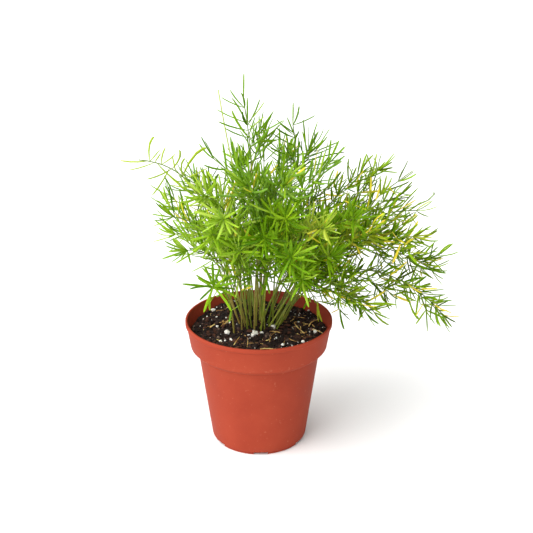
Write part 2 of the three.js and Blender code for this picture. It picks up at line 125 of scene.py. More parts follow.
# a point attribute with up to three columns and a fourth that is 1 unless it is given
def tint(obj, layerName, *columns):
    values = np.zeros((len(obj.data.vertices), 4), dtype=np.float32)
    values[:, 3] = 1
    for i, column in enumerate(columns):
        values[:, i] = column
    attributes = obj.data.attributes
    layer = attributes.get(layerName) or attributes.new(layerName, "FLOAT_COLOR", "POINT")
    layer.data.foreach_set("color", values.ravel())


def copyOf(pattern, matrix, *layer):
    copy = pattern.copy()
    copy.data = pattern.data.copy()
    bpy.context.scene.collection.objects.link(copy)
    copy.matrix_world = matrix
    if layer:
        tint(copy, *layer)
    return copy


# one point on the axis is drawn out along the outline, given as radius and height in mm, then spun
def spinOutline(name, outline, segments, weld):
    pick()
    bpy.ops.mesh.primitive_plane_add(size=mm, location=(0, 0, outline[0][1] * mm))
    obj = rename(name)
    settle(obj)
    startEdit(obj)
    bpy.ops.mesh.merge(type="CENTER")
    for before, after in zip(outline, outline[1:]):
        bpy.ops.mesh.extrude_region_move(TRANSFORM_OT_translate={
            "value": ((after[0] - before[0]) * mm, 0, (after[1] - before[1]) * mm),
        })
    bpy.ops.mesh.select_all(action="SELECT")
    bpy.ops.mesh.spin(steps=segments, angle=fullTurn, center=(0, 0, 0), axis=(0, 0, 1))
    endEdit(weld * mm)
    return obj


def linear(red, green, blue):
    def one(level):
        level /= 255
        return level / 12.92 if level <= 0.04045 else ((level + 0.055) / 1.055) ** 2.4
    return (one(red), one(green), one(blue), 1)


# settings of a look that go straight into the shader
sockets = {
    "roughness": "Roughness", "gloss": "Specular IOR Level", "glow": "Subsurface Weight",
    "glowDepth": "Subsurface Scale", "glowReach": "Subsurface Radius",
}


def startMaterial(name, look):
    material = bpy.data.materials.new(name)
    material.use_nodes = True
    tree = material.node_tree
    shader = tree.nodes["Principled BSDF"]
    for key in sockets:
        if key in look:
            shader.inputs[sockets[key]].default_value = look[key]
    return material, tree, shader, addNode(tree, "TexCoord").outputs["Object"]


def addNode(tree, kind, inputs=None, **settings):
    node = tree.nodes.new("ShaderNode" + kind)
    for key, value in settings.items():
        setattr(node, key, value)
    for key, value in (inputs or {}).items():
        if isinstance(value, bpy.types.NodeSocket):
            tree.links.new(value, node.inputs[key])
        else:
            node.inputs[key].default_value = value
    return node


def addRamp(tree, factor, *stops):
    node = addNode(tree, "ValToRGB", {"Fac": factor})
    elements = node.color_ramp.elements
    while len(elements) < len(stops):
        elements.new(0.5)
    for element, (place, colour) in zip(elements, stops):
        element.position = place
        element.color = colour
    return node.outputs["Color"]


def addMix(tree, factor, first, second):
    inputs = {0: factor, 6: first, 7: second}
    return addNode(tree, "Mix", inputs, data_type="RGBA").outputs[2]


def addMath(tree, operation, first, second, clamp=False):
    node = addNode(tree, "Math", {0: first, 1: second}, operation=operation, use_clamp=clamp)
    return node.outputs[0]


def addRange(tree, value, fromMin, fromMax, toMin=0.0, toMax=1.0):
    return addNode(tree, "MapRange", {
        "Value": value, "From Min": fromMin, "From Max": fromMax, "To Min": toMin, "To Max": toMax,
    }).outputs["Result"]


# another colour laid over the first, where the value runs through the share
def layOver(tree, colour, value, share, other):
    return addMix(tree, addRange(tree, value, *share), colour, other)


def addNoise(tree, vector, scale, detail, roughness=0.55):
    return addNode(tree, "TexNoise", {
        "Vector": vector, "Scale": scale, "Detail": detail, "Roughness": roughness,
    }).outputs["Fac"]


# the place drawn out along Z, for streaks
def addStretch(tree, place, factor):
    return addNode(tree, "Mapping", {"Vector": place, "Scale": (1, 1, factor)}).outputs["Vector"]


def finishMaterial(tree, shader, colour, relief, strength, depth, roughness=None):
    bump = addNode(tree, "Bump", {"Height": relief, "Strength": strength, "Distance": depth})
    tree.links.new(colour, shader.inputs["Base Color"])
    tree.links.new(bump.outputs["Normal"], shader.inputs["Normal"])
    if roughness:
        tree.links.new(roughness, shader.inputs["Roughness"])


# camera, light and floor, in metres

cameraLook = {
    "place": (0, -0.66698, 0.39073), "downDeg": 21.487, "rightDeg": 0.457, "lens": 71.1,
}
stageLook = {
    "floorSize": 14, "floorColour": linear(234, 234, 233), "floorShade": 0.985,
    "floorNoise": (6, 2), "floorStops": (0.3, 0.7), "roughness": 0.9,
    "skyDim": 0.04, "skyBright": 2.38, "skyFrom": (-0.58, -0.44, 0.68), "skySpread": (-0.2, 0.92),
    "keyStrength": 1.85, "keySoftnessDeg": 45, "keyFrom": (-0.62, -0.5, 1.0),
    "keyPlace": (-0.6, -0.7, 1),
}


def setStage():
    bpy.ops.object.camera_add(location=cameraLook["place"], rotation=(
        math.radians(90 - cameraLook["downDeg"]), 0, -math.radians(cameraLook["rightDeg"]),
    ))
    camera = rename("camera")
    camera.data.lens = cameraLook["lens"]
    bpy.context.scene.camera = camera

    keyTurn = Vector(stageLook["keyFrom"]).to_track_quat("Z", "Y").to_euler()
    bpy.ops.object.light_add(type="SUN", rotation=keyTurn, location=stageLook["keyPlace"])
    key = rename("key_light")
    key.data.energy = stageLook["keyStrength"]
    key.data.angle = math.radians(stageLook["keySoftnessDeg"])

    # a soft tent of light, brightest from the upper left and front
    world = bpy.data.worlds.new("studio")
    world.use_nodes = True
    tree = world.node_tree
    backdrop = tree.nodes["Background"]
    backdrop.inputs["Color"].default_value = (1, 1, 1, 1)
    facing = addNode(tree, "VectorMath", {
        0: addNode(tree, "TexCoord").outputs["Generated"],
        1: Vector(stageLook["skyFrom"]).normalized(),
    }, operation="DOT_PRODUCT").outputs["Value"]
    brightness = stageLook["skyDim"], stageLook["skyBright"]
    sky = addRange(tree, facing, *stageLook["skySpread"], *brightness)
    tree.links.new(sky, backdrop.inputs["Strength"])
    bpy.context.scene.world = world
    bpy.context.scene.view_settings.view_transform = "Standard"

    pick()
    bpy.ops.mesh.primitive_plane_add(size=stageLook["floorSize"])
    floor = rename("studio_floor")
    material, tree, shader, place = startMaterial("studio_paper", stageLook)
    light = stageLook["floorColour"]
    shade = (*(channel * stageLook["floorShade"] for channel in light[:3]), 1)
    grain = addNoise(tree, place, *stageLook["floorNoise"])
    colour = addRamp(tree, grain, *zip(stageLook["floorStops"], (shade, light)))
    tree.links.new(colour, shader.inputs["Base Color"])
    coat(floor, material)


setStage()
print("camera, light and floor set")


# the pot in mm: a spun outline, six notches under it and six drain holes

potShape = {
    "height": 89.7, "rimRadius": 51, "wall": 1.4, "floor": 3,
    "footRadius": 32.2, "footHeight": 1.8, "wallFootRadius": 33.5,
    "waistRadius": 42.4, "waistHeight": 67.2, "collarRadius": 47.6, "collarHeight": 71.2,
    "segments": 144, "weld": 0.01, "cornerRadius": 0.32, "cornerSteps": 3, "cornerDeg": 14,
    "notches": 6, "firstNotchDeg": 272, "notchWidth": 9.8, "notchInner": 14, "notchPast": 4,
    "holeRadius": 3.4, "holeAt": 24, "holeDepth": 18, "holeSides": 32, "smoothDeg": 40,
}
# a noise is scale, detail and roughness; a share is from, to and what they become
potLook = {
    "light": linear(156, 65, 45), "middle": linear(150, 60, 41), "dark": linear(142, 55, 38),
    "scuff": linear(184, 108, 84), "roughness": 0.5, "gloss": 0.05, "stops": (0.3, 0.52, 0.72),
    "cloud": (28, 5, 0.6), "grain": (900, 3, 0.7), "grainShare": (0.52, 0.75, 0, 0.22),
    "speck": (520, 2, 0.5), "speckShare": (0.68, 0.74, 0, 0.35),
    "rub": (330, 3, 0.7), "rubStretch": 3, "rubShare": (0.58, 0.68), "rubStrength": 0.5,
    "rubBand": ((0.0690, 0.0705), (0.0755, 0.0725)),
    "flow": (160, 3), "flowStretch": 0.15, "flowStrength": 0.5,
    "sheen": (0.3, 0.7, 0.52, 0.66), "relief": (0.25, 0.00025),
}


def potMaterial():
    look = potLook
    material, tree, shader, place = startMaterial("terracotta_plastic", look)
    cloud = addNoise(tree, place, *look["cloud"])
    grain = addNoise(tree, place, *look["grain"])
    specks = addNoise(tree, place, *look["speck"])
    tones = look["dark"], look["middle"], look["light"]
    colour = addRamp(tree, cloud, *zip(look["stops"], tones))
    colour = layOver(tree, colour, grain, look["grainShare"], look["dark"])
    colour = layOver(tree, colour, specks, look["speckShare"], look["scuff"])
    # rubbed marks where pots were stacked, in a band just above the collar's edge
    height = addNode(tree, "SeparateXYZ", {"Vector": place}).outputs["Z"]
    low, high = (addRange(tree, height, *ends) for ends in look["rubBand"])
    rubs = addNoise(tree, addStretch(tree, place, look["rubStretch"]), *look["rub"])
    rubbed = addMath(tree, "MULTIPLY", addMath(tree, "MULTIPLY", low, high),
                     addRange(tree, rubs, *look["rubShare"]))
    rubbed = addMath(tree, "MULTIPLY", rubbed, look["rubStrength"])
    colour = addMix(tree, rubbed, colour, look["scuff"])
    flow = addNoise(tree, addStretch(tree, place, look["flowStretch"]), *look["flow"])
    relief = addMath(tree, "ADD", addMath(tree, "MULTIPLY", flow, look["flowStrength"]), grain)
    sheen = addRange(tree, cloud, *look["sheen"])
    finishMaterial(tree, shader, colour, relief, *look["relief"], sheen)
    return material


def potOutline():
    s = potShape
    rim, wall, height = s["rimRadius"], s["wall"], s["height"]
    return [
        (0, 0),
        (s["footRadius"], 0),
        (s["footRadius"], s["footHeight"]),
        (s["wallFootRadius"] - 0.7, s["footHeight"]),
        (s["wallFootRadius"], s["footHeight"] + 0.8),
        (s["waistRadius"], s["waistHeight"]),
        (s["waistRadius"] + 0.9, s["waistHeight"] + 0.3),
        (s["collarRadius"] - 1.5, s["collarHeight"] - 1.6),
        (s["collarRadius"], s["collarHeight"]),
        (rim - 0.9, height - 3.4),
        (rim, height - 2.8),
        (rim, height),
        (rim - wall, height),
        (s["collarRadius"] - wall - 0.3, s["collarHeight"] + 0.5),
        (s["waistRadius"] - wall, s["waistHeight"] + 0.4),
        (s["wallFootRadius"] - wall - 0.2, s["floor"]),
        (0, s["floor"]),
    ]


def cutWith(piece, matrix):
    cutter = rename("cutter")
    cutter.matrix_world = matrix
    settle(cutter)
    applyModifier(piece, "BOOLEAN", operation="DIFFERENCE", object=cutter, solver="EXACT")
    bpy.data.objects.remove(cutter)


def makePot():
    s = potShape
    pot = spinOutline("pot_body", potOutline(), s["segments"], s["weld"])
    applyModifier(pot, "BEVEL", width=s["cornerRadius"] * mm, segments=s["cornerSteps"],
                  limit_method="ANGLE", angle_limit=math.radians(s["cornerDeg"]),
                  use_clamp_overlap=True)
    reach = s["wallFootRadius"] + s["notchPast"] - s["notchInner"]
    size = (reach * mm, s["notchWidth"] * mm, s["footHeight"] * 2 * mm, 1)
    for i in range(s["notches"]):
        turn = Matrix.Rotation(math.radians(s["firstNotchDeg"] + 360 / s["notches"] * i), 4, "Z")
        pick()
        bpy.ops.mesh.primitive_cube_add(size=1)
        middle = Matrix.Translation(((s["notchInner"] + reach / 2) * mm, 0, 0))
        cutWith(pot, turn @ middle @ Matrix.Diagonal(size))
        pick()
        bpy.ops.mesh.primitive_cylinder_add(
            vertices=s["holeSides"], radius=s["holeRadius"] * mm, depth=s["holeDepth"] * mm)
        cutWith(pot, turn @ Matrix.Translation((s["holeAt"] * mm, 0, 0)))
    smooth(pot, s["smoothDeg"])
    coat(pot, potMaterial())
    dress(pot, "pot_plastic", "pot")


def insideRadius(z):
    s = potShape
    heights = (s["floor"], s["waistHeight"] + 0.4, s["collarHeight"] + 0.5, s["height"] - 0.5)
    radii = (s["wallFootRadius"] - s["wall"] - 0.2, s["waistRadius"] - s["wall"],
             s["collarRadius"] - s["wall"] - 0.3, s["rimRadius"] - s["wall"] - 0.4)
    return float(np.interp(z, heights, radii))


makePot()
print("pot made")


# the potting mix in mm

soilShape = {
    "wallLevel": 81, "gap": 0.35, "wallGap": 0.55, "rings": 58, "segments": 200, "weld": 0.004,
    "mounds": ((0, 8, 2.4, 15), (-14, 36, 4.8, 11)),
    "grain": 1.2, "roughScale": 0.42, "lumpScale": 0.21, "lumps": 0.7, "calmEdge": 3,
}
soilLook = {
    "black": linear(7, 4, 4), "brown": linear(34, 22, 17), "rust": linear(96, 58, 40),
    "ash": linear(140, 116, 98), "stops": (0.3, 0.52, 0.66, 0.8), "patch": (260, 6, 0.65),
    "fine": (1400, 4, 0.7), "fineShare": (0.55, 0.8, 0, 0.4), "fineRelief": 0.6,
    "roughness": 0.85, "gloss": 0.25, "dampness": (0.3, 0.7, 0.62, 0.95), "relief": (0.9, 0.0012),
}


def soilLevel(x, y):
    level = soilShape["wallLevel"] + 0.7 * math.sin(0.43 * x + 1.3) * math.sin(0.39 * y + 0.4)
    level += 0.4 * math.sin(0.7 * x - 0.6 * y)
    for mx, my, height, spread in soilShape["mounds"]:
        level += height * math.exp(-((x - mx) ** 2 + (y - my) ** 2) / (2 * spread ** 2))
    return level


def soilSurface(x, y):
    s = soilShape
    edge = insideRadius(s["wallLevel"]) - s["wallGap"]
    inner = min(1, max(0, (edge - math.hypot(x, y)) / s["calmEdge"]))
    rough = noise.fractal(Vector((x * s["roughScale"], y * s["roughScale"], 3.7)), 1.0, 2.1, 4)
    lumps = noise.noise(Vector((x * s["lumpScale"], y * s["lumpScale"], 9.1)))
    return soilLevel(x, y) + inner * s["grain"] * (rough + s["lumps"] * lumps)


def onSoil(x, y, height=0.0):
    return Matrix.Translation(Vector((x, y, soilSurface(x, y) + height)) * mm)


def mixMaterial():
    look = soilLook
    material, tree, shader, place = startMaterial("damp_potting_mix", look)
    patches = addNoise(tree, place, *look["patch"])
    colour = addRamp(tree, patches, *zip(
        look["stops"], (look["black"], look["brown"], look["black"], look["rust"])))
    tone = addNode(tree, "Attribute", attribute_name="tint").outputs["Color"]
    parts = addNode(tree, "SeparateColor", {"Color": tone}).outputs
    colour = addMix(tree, parts["Red"], colour, look["rust"])
    colour = addMix(tree, parts["Green"], colour, look["ash"])
    fine = addNoise(tree, place, *look["fine"])
    colour = layOver(tree, colour, fine, look["fineShare"], look["rust"])
    relief = addMath(tree, "ADD", patches, addMath(tree, "MULTIPLY", fine, look["fineRelief"]))
    dampness = addRange(tree, patches, *look["dampness"])
    finishMaterial(tree, shader, colour, relief, *look["relief"], dampness)
    return material


def makeSoil(material):
    s = soilShape
    top, bottom = s["wallLevel"], potShape["floor"] + s["gap"]
    edge = insideRadius(top) - s["wallGap"]
    rings = [(edge * k / s["rings"], top) for k in range(s["rings"] + 1)]
    side = [(insideRadius(z) - s["wallGap"], z)
            for z in (potShape["collarHeight"] + 0.9, potShape["waistHeight"] + 0.4, bottom)]
    soil = spinOutline("soil_bed", rings + side + [(0, bottom)], s["segments"], s["weld"])
    for vertex in soil.data.vertices:
        if vertex.co.z > (top - 0.1) * mm:
            vertex.co.z = soilSurface(vertex.co.x / mm, vertex.co.y / mm) * mm
    tint(soil, "tint", 0)
    pick(soil)
    bpy.ops.object.shade_smooth()
    coat(soil, material)
    dress(soil, "potting_mix", "soil")


# loose bits on the mix: sizes in mm, and how high a bit lies as a share of its size
crumbPlan = {
    "seed": 31, "count": 2600, "sizes": (0.35, 1.35), "skew": 0.8, "clodFrom": 1.9, "level": 82,
    "edge": 0.6, "inset": 0.6, "lie": (-0.05, 0.22), "rust": 0.8, "ash": 0.55, "ashShare": 0.05,
    "jagged": 0.16, "clodJagged": 0.12, "smoothDeg": 35,
}
chipPlan = {
    "count": 90, "sizes": (1.4, 3.4), "edge": 1, "lie": 0.2, "tilt": 0.5, "rust": (0.05, 0.75),
    "long": (1.7, 1, 0.42), "broad": (1.4, 0.9, 0.6), "broadJagged": 0.14,
}
perlitePlan = {
    "seed": 8, "swell": 1.1, "lie": 0.3, "tilt": 0.6, "jagged": 0.06, "wide": (0.7, 0.95),
    "high": (0.65, 0.85), "pitScale": 0.35, "pitDepth": 0.35, "specks": 130,
    "speckSizes": (0.4, 1.1), "speckReach": 45.5, "speckLie": 0.5, "smoothDeg": 50,
}
perliteLook = {
    "white": linear(240, 238, 230), "shade": linear(186, 178, 164), "stops": (0.42, 0.7),
    "pores": 1500, "pitShadeShare": (0.25, 0.05, 0, 0.5), "dirt": (420, 4, 0.6),
    "roughness": 0.8, "gloss": 0.3, "relief": (0.5, 0.0004),
}
# where the larger grains lie, and their sizes
perliteGrains = (
    (-22, -8, 3.5), (-3, -12, 5.2), (2, -10, 2.4), (10, -3, 3.9), (13, -7, 1.5), (-33, 29, 3),
    (-26, -19, 2), (-19, -19, 2.6), (16, -28, 2.8), (22, -27, 2.2), (30, -21, 2.5), (39, -7, 3),
    (29, 27, 2.3), (29, 21, 1.5), (-18, 36, 2.6), (-20, 6, 2), (-29, 1, 2.1), (-30, 17, 1.4),
    (-33, 13, 1), (-23, -21, 1.3), (-7, -13, 2), (25, -10, 1.7), (35, -6, 1.3), (-12, -32, 1.1),
    (12, -14, 1.5), (28, 9, 1.3), (-35, -9, 1.1), (-3, -25, 1), (-6, 45, 1.5), (45, 0, 2),
    (-37, 21, 1.5), (21, 40, 1.8), (8, 42, 1.2), (-24, 42, 1.3), (36, 30, 1.4), (-41, 5, 1.2),
    (-8, -41, 1), (34, -30, 1.2), (-40, -16, 1), (4, 33, 1.6), (-12, 24, 1.2), (42, 14, 1.1),
)


def perliteMaterial():
    look = perliteLook
    material, tree, shader, place = startMaterial("perlite", look)
    cells = addNode(tree, "TexVoronoi", {"Vector": place, "Scale": look["pores"]})
    pores = cells.outputs["Distance"]
    dirt = addNoise(tree, place, *look["dirt"])
    colour = addRamp(tree, dirt, *zip(look["stops"], (look["white"], look["shade"])))
    # the pits at the pore centres are darkened: painted shade in the pits
    colour = layOver(tree, colour, pores, look["pitShadeShare"], look["shade"])
    finishMaterial(tree, shader, colour, pores, *look["relief"])
    return material


def makeLump(name, subdivisions, jaggedness, seed, squash=(1, 1, 1)):
    pick()
    bpy.ops.mesh.primitive_ico_sphere_add(subdivisions=subdivisions, radius=0.5)
    lump = rename(name)
    startEdit(lump)
    bpy.ops.transform.vertex_random(offset=jaggedness, uniform=1.0, normal=0.0, seed=seed)
    bpy.ops.transform.resize(value=squash)
    endEdit()
    tint(lump, "tint", 0)
    return lump


def turned(draw):
    return Matrix.Rotation(draw.uniform(0, fullTurn), 4, "Z") @ Matrix.Rotation(
        draw.uniform(0, math.pi), 4, "X") @ Matrix.Rotation(draw.uniform(0, fullTurn), 4, "Y")


def gather(name, placed, patterns, material, smoothDeg):
    piece = joinAll(name, placed)
    for pattern in patterns:
        bpy.data.objects.remove(pattern)
    settle(piece)
    coat(piece, material)
    smooth(piece, smoothDeg)
    dress(piece, "potting_mix")


def scatterCrumbs(material):
    draw, plan = random.Random(crumbPlan["seed"]), crumbPlan
    least, most = plan["sizes"]
    crumbs = [makeLump("crumb", 1, plan["jagged"], seed) for seed in range(3)]
    clod = makeLump("clod", 2, plan["clodJagged"], 7)
    chips = [makeLump("chip", 2, plan["jagged"], 11, chipPlan["long"]),
             makeLump("chip", 2, chipPlan["broadJagged"], 12, chipPlan["broad"])]
    placed = []
    for i in range(plan["count"]):
        angle = draw.uniform(0, fullTurn)
        size = least * (most / least) ** (draw.random() ** plan["skew"]) * 2
        reach = insideRadius(plan["level"]) - plan["edge"] - size * plan["inset"]
        r = reach * math.sqrt(draw.random())
        pattern = clod if size > plan["clodFrom"] else crumbs[i % 3]
        rust = draw.random() ** 5 * plan["rust"]
        ash = plan["ash"] * draw.random() if draw.random() < plan["ashShare"] else 0
        spot = onSoil(r * math.cos(angle), r * math.sin(angle), size * draw.uniform(*plan["lie"]))
        matrix = spot @ turned(draw) @ Matrix.Scale(size * mm, 4)
        placed.append(copyOf(pattern, matrix, "tint", rust, ash))
    for i in range(chipPlan["count"]):
        angle = draw.uniform(0, fullTurn)
        size = draw.uniform(*chipPlan["sizes"])
        r = (insideRadius(plan["level"]) - chipPlan["edge"] - size) * math.sqrt(draw.random())
        tilt = Matrix.Rotation(draw.uniform(-chipPlan["tilt"], chipPlan["tilt"]), 4, "X")
        tilt = tilt @ Matrix.Rotation(draw.uniform(0, 6.3), 4, "Z")
        spot = onSoil(r * math.cos(angle), r * math.sin(angle), size * chipPlan["lie"])
        placed.append(copyOf(chips[i % 2], spot @ tilt @ Matrix.Scale(size * mm, 4),
                             "tint", draw.uniform(*chipPlan["rust"]), 0))
    gather("soil_crumbs", placed, crumbs + [clod] + chips, material, plan["smoothDeg"])


def scatterPerlite():
    draw, plan = random.Random(perlitePlan["seed"]), perlitePlan
    patterns = [makeLump("grain", 3, plan["jagged"], seed,
                         (1, draw.uniform(*plan["wide"]), draw.uniform(*plan["high"])))
                for seed in (21, 22, 23)]
    for pattern in patterns:
        cloud = bpy.data.textures.new("pits", "CLOUDS")
        cloud.noise_scale = plan["pitScale"]
        applyModifier(pattern, "DISPLACE", texture=cloud, strength=plan["pitDepth"], mid_level=0.5)
    placed = []
    for i, (x, y, size) in enumerate(perliteGrains):
        size *= plan["swell"]
        turn = Matrix.Rotation(draw.uniform(0, 6.3), 4, "Z")
        turn = turn @ Matrix.Rotation(draw.uniform(-plan["tilt"], plan["tilt"]), 4, "X")
        matrix = onSoil(x, y, size * plan["lie"]) @ turn @ Matrix.Scale(size * mm, 4)
        placed.append(copyOf(patterns[i % 3], matrix))
    for i in range(plan["specks"]):
        angle, r = draw.uniform(0, fullTurn), plan["speckReach"] * math.sqrt(draw.random())
        size = draw.uniform(*plan["speckSizes"])
        spot = onSoil(r * math.cos(angle), r * math.sin(angle), size * plan["speckLie"])
        matrix = spot @ turned(draw) @ Matrix.Scale(size * mm, 4)
        placed.append(copyOf(patterns[i % 3], matrix))
    gather("perlite_grains", placed, patterns, perliteMaterial(), plan["smoothDeg"])


mixFinish = mixMaterial()
makeSoil(mixFinish)
scatterCrumbs(mixFinish)
scatterPerlite()
print("potting mix made")


# where every stem stands and how it arches, in mm, as in the frame

clump = {"x": 0, "y": 8, "share": 0.08, "jitter": 2.5, "spacing": 3.6, "rounds": 80}
arch = {
    "planted": 6, "lean": 0.3, "sway": 8, "rise": 0.5, "leastLift": 26, "droopLift": 0.45,
    "hold": 0.36, "clearance": 2.3, "margin": 0.1, "steps": 16, "rounds": 60, "fineSteps": 201,
}
# tip, pitch of the last stretch in degrees, share that is bare, kind of growth, and the foot
# where it is known
stemPlan = {
    "low_left": (-30, -34, 127, 0, 0.45, "coolStar", -17, -6),
    "front_left": (-12, -50, 158, 12, 0.5, "limeStar", -12, -5),
    "side_left": (-47, -18, 147, 8, 0.5, "lime"),
    "mid_left": (-29, -47, 168, 14, 0.5, "limeStar"),
    "high_left": (-34, -38, 191, 24, 0.48, "paleStar"),
    "inner_left": (-22, -54, 181, 12, 0.52, "paleStar"),
    "crest_left": (-7, -42, 199, 32, 0.5, "crestStar"),
    "crest_right": (16, -46, 200, 28, 0.5, "crestStar"),
    "front_high": (17, -63, 184, 12, 0.5, "leafStar"),
    "front_mid": (4, -62, 171, 8, 0.52, "deepStar"),
    "front_right": (20, -67, 161, 4, 0.5, "freshStar"),
    "front_low": (27, -58, 142, 0, 0.5, "freshStar"),
    "yellow_star": (41, -49, 173, 18, 0.5, "yellowStar"),
    "lower_star": (47, -45, 152, 6, 0.5, "leafStar"),
    "outer_star": (60, -38, 175, 12, 0.48, "freshStar"),
    "far_left_arch": (-79, 5, 202, 6, 0.45, "paleArch"),
    "back_left_dark": (-61, 33, 167, 22, 0.5, "sparse"),
    "left_low": (-57, 16, 146, -4, 0.5, "lime"),
    "left_front": (-56, -12, 168, 14, 0.5, "loose"),
    "left_inner": (-48, 12, 178, 30, 0.45, "loose"),
    "spire": (-10, 0, 246, 80, 0.45, "spire"),
    "side_spire": (3, 14, 214, 72, 0.45, "spire"),
    "right_spire": (23, 18, 222, 100, 0.45, "spire"),
    "right_spire_low": (34, 24, 203, 60, 0.45, "spire"),
    "shoulder": (46, 4, 199, 30, 0.45, "fresh"),
    "right_crest": (69, 20, 188, 38, 0.45, "dark"),
    "right_high": (82, 30, 187, 34, 0.42, "thin"),
    "right_far_high": (97, 34, 178, 18, 0.42, "thin"),
    "right_mid_high": (94, 6, 176, 16, 0.42, "tail"),
    "right_far": (109, 24, 160, 2, 0.42, "thin"),
    "right_mid": (103, -4, 151, -4, 0.42, "olive"),
    "right_inner": (74, -20, 158, 6, 0.42, "olive"),
    "right_drooping": (127, -2, 93, -52, 0.4, "tail"),
    "right_drooping_back": (120, 16, 120, -28, 0.42, "dark"),
    "right_low_front": (78, -16, 101, -40, 0.42, "tail"),
    "right_low_back": (94, 9, 103, -36, 0.42, "tail"),
    "right_low_near": (62, -30, 116, -26, 0.45, "tail"),
    "rim_right": (60, 6, 104, -24, 0.5, "olive"),
    "back_left": (-45, 56, 172, 10, 0.45, "deep"),
    "back": (-14, 72, 182, 14, 0.45, "deep"),
    "back_right": (22, 74, 186, 10, 0.45, "deep"),
    "back_right_low": (54, 60, 166, 2, 0.45, "dark"),
    "back_high": (4, 42, 206, 42, 0.45, "sparse"),
    "back_high_left": (-30, 24, 197, 32, 0.45, "sparse"),
    "back_far_right": (78, 52, 146, -12, 0.45, "olive"),
    "back_low_left": (-42, 54, 132, -14, 0.4, "deep"),
    "back_low": (10, 70, 142, -12, 0.38, "deep"),
    "bare_shoot": (-26, 12, 247, 89, 1, "shoot"),
}

def chance(a, b):
    s = math.sin(a * 12.9898 + b * 78.233 + 4.1) * 43758.5453
    return s - math.floor(s)


def stemHandles(stem):
    fx, fy = stem["foot"]
    foot = np.array((fx, fy, soilLevel(fx, fy) - arch["planted"]))
    tip = stem["tip"]
    outward = math.atan2(tip[1] - fy, tip[0] - fx)
    ahead, across = math.cos(outward), math.sin(outward)
    reach = math.hypot(tip[0] - fx, tip[1] - fy)
    pitch = math.radians(stem["pitch"])
    heading = np.array((ahead * math.cos(pitch), across * math.cos(pitch), math.sin(pitch)))
    droop = reach * arch["droopLift"] if pitch < 0 else 0
    lift = max((tip[2] - foot[2]) * arch["rise"], arch["leastLift"]) + droop
    lean = reach * arch["lean"]
    hold = np.linalg.norm(foot - tip) * arch["hold"]
    shift, sway = stem["shift"], stem["sway"]
    first = foot + (lean * ahead + sway[0] + shift[0], lean * across + sway[1] + shift[1], lift)
    return np.array((foot, first, tip - heading * hold + shift, tip))


def bezier(handles, t):
    t = np.asarray(t, dtype=float)[:, None]
    return ((1 - t) ** 3 * handles[0] + 3 * (1 - t) ** 2 * t * handles[1]
            + 3 * (1 - t) * t * t * handles[2] + t ** 3 * handles[3])


def alongStem(handles, shares):
    fine = np.linspace(0, 1, arch["fineSteps"])
    line = bezier(handles, fine)
    run = np.concatenate(([0], np.cumsum(np.linalg.norm(np.diff(line, axis=0), axis=1))))
    return bezier(handles, np.interp(np.asarray(shares) * run[-1], run, fine)), run[-1]


# the least distance between the segments p to q and r to s
def segmentGaps(p, q, r, s):
    d1, d2, between = q - p, s - r, p - r
    a, e, b = (d1 * d1).sum(-1), (d2 * d2).sum(-1), (d1 * d2).sum(-1)
    c, f = (d1 * between).sum(-1), (d2 * between).sum(-1)
    bottom = a * e - b * b
    slanted = bottom > 1e-9
    near = np.where(slanted, np.clip((b * f - c * e) / np.where(slanted, bottom, 1), 0, 1), 0)
    other = np.clip((b * near + f) / e, 0, 1)
    near = np.clip((b * other - c) / a, 0, 1)
    return np.linalg.norm(p + d1 * near[..., None] - r - d2 * other[..., None], axis=-1)


def plantFeet(stems):
    middle = clump["x"], clump["y"]
    for i, stem in enumerate(stems):
        stem["sway"] = [arch["sway"] * (2 * chance(i, n) - 1) for n in (6, 7)]
        if not stem["foot"]:
            spread = [clump["jitter"] * (2 * chance(i, n) - 1) for n in (1, 2)]
            stem["foot"] = [middle[k] + (stem["tip"][k] - middle[k]) * clump["share"] + spread[k]
                            for k in (0, 1)]
    for turn in range(clump["rounds"]):
        for i, a in enumerate(stems):
            for b in stems[i + 1:]:
                dx, dy = a["foot"][0] - b["foot"][0], a["foot"][1] - b["foot"][1]
                gap = math.hypot(dx, dy) or 0.01
                push = (clump["spacing"] - gap) / 2
                if push > 0:
                    a["foot"] = [a["foot"][0] + dx / gap * push, a["foot"][1] + dy / gap * push]
                    b["foot"] = [b["foot"][0] - dx / gap * push, b["foot"][1] - dy / gap * push]


def easeApart(stems):
    first, second = np.triu_indices(len(stems), 1)
    steps, clearance = arch["steps"], arch["clearance"]
    for turn in range(arch["rounds"]):
        lines = np.array([alongStem(stemHandles(stem), np.linspace(0, 1, steps + 1))[0]
                          for stem in stems])
        a, b = lines[first][:, :, None], lines[second][:, None]
        gaps = segmentGaps(a[:, :-1], a[:, 1:], b[:, :, :-1], b[:, :, 1:])
        gaps = gaps.reshape(len(first), -1)
        touching = gaps < clearance
        pairs = np.flatnonzero(touching.any(axis=1))
        if not len(pairs):
            return
        for pair in pairs:
            hit = int(touching[pair].argmax())
            m, n = divmod(hit, steps)
            one, two = lines[first[pair]], lines[second[pair]]
            away = one[m] + one[m + 1] - two[n] - two[n + 1]
            away *= (clearance - gaps[pair, hit] + arch["margin"]) / np.linalg.norm(away)
            stems[first[pair]]["shift"] += away
            stems[second[pair]]["shift"] -= away


stems = [
    {"name": name, "tip": np.array((x, y, z), float), "pitch": pitch, "bare": bare,
     "growth": kind, "foot": foot, "shift": np.zeros(3)}
    for name, (x, y, z, pitch, bare, kind, *foot) in stemPlan.items()
]
plantFeet(stems)
easeApart(stems)
for stem in stems:
    stem["handles"] = stemHandles(stem)
*frondStems, shootStem = stems
print("stems placed")


# needles: one blade modelled in each bend, then copied

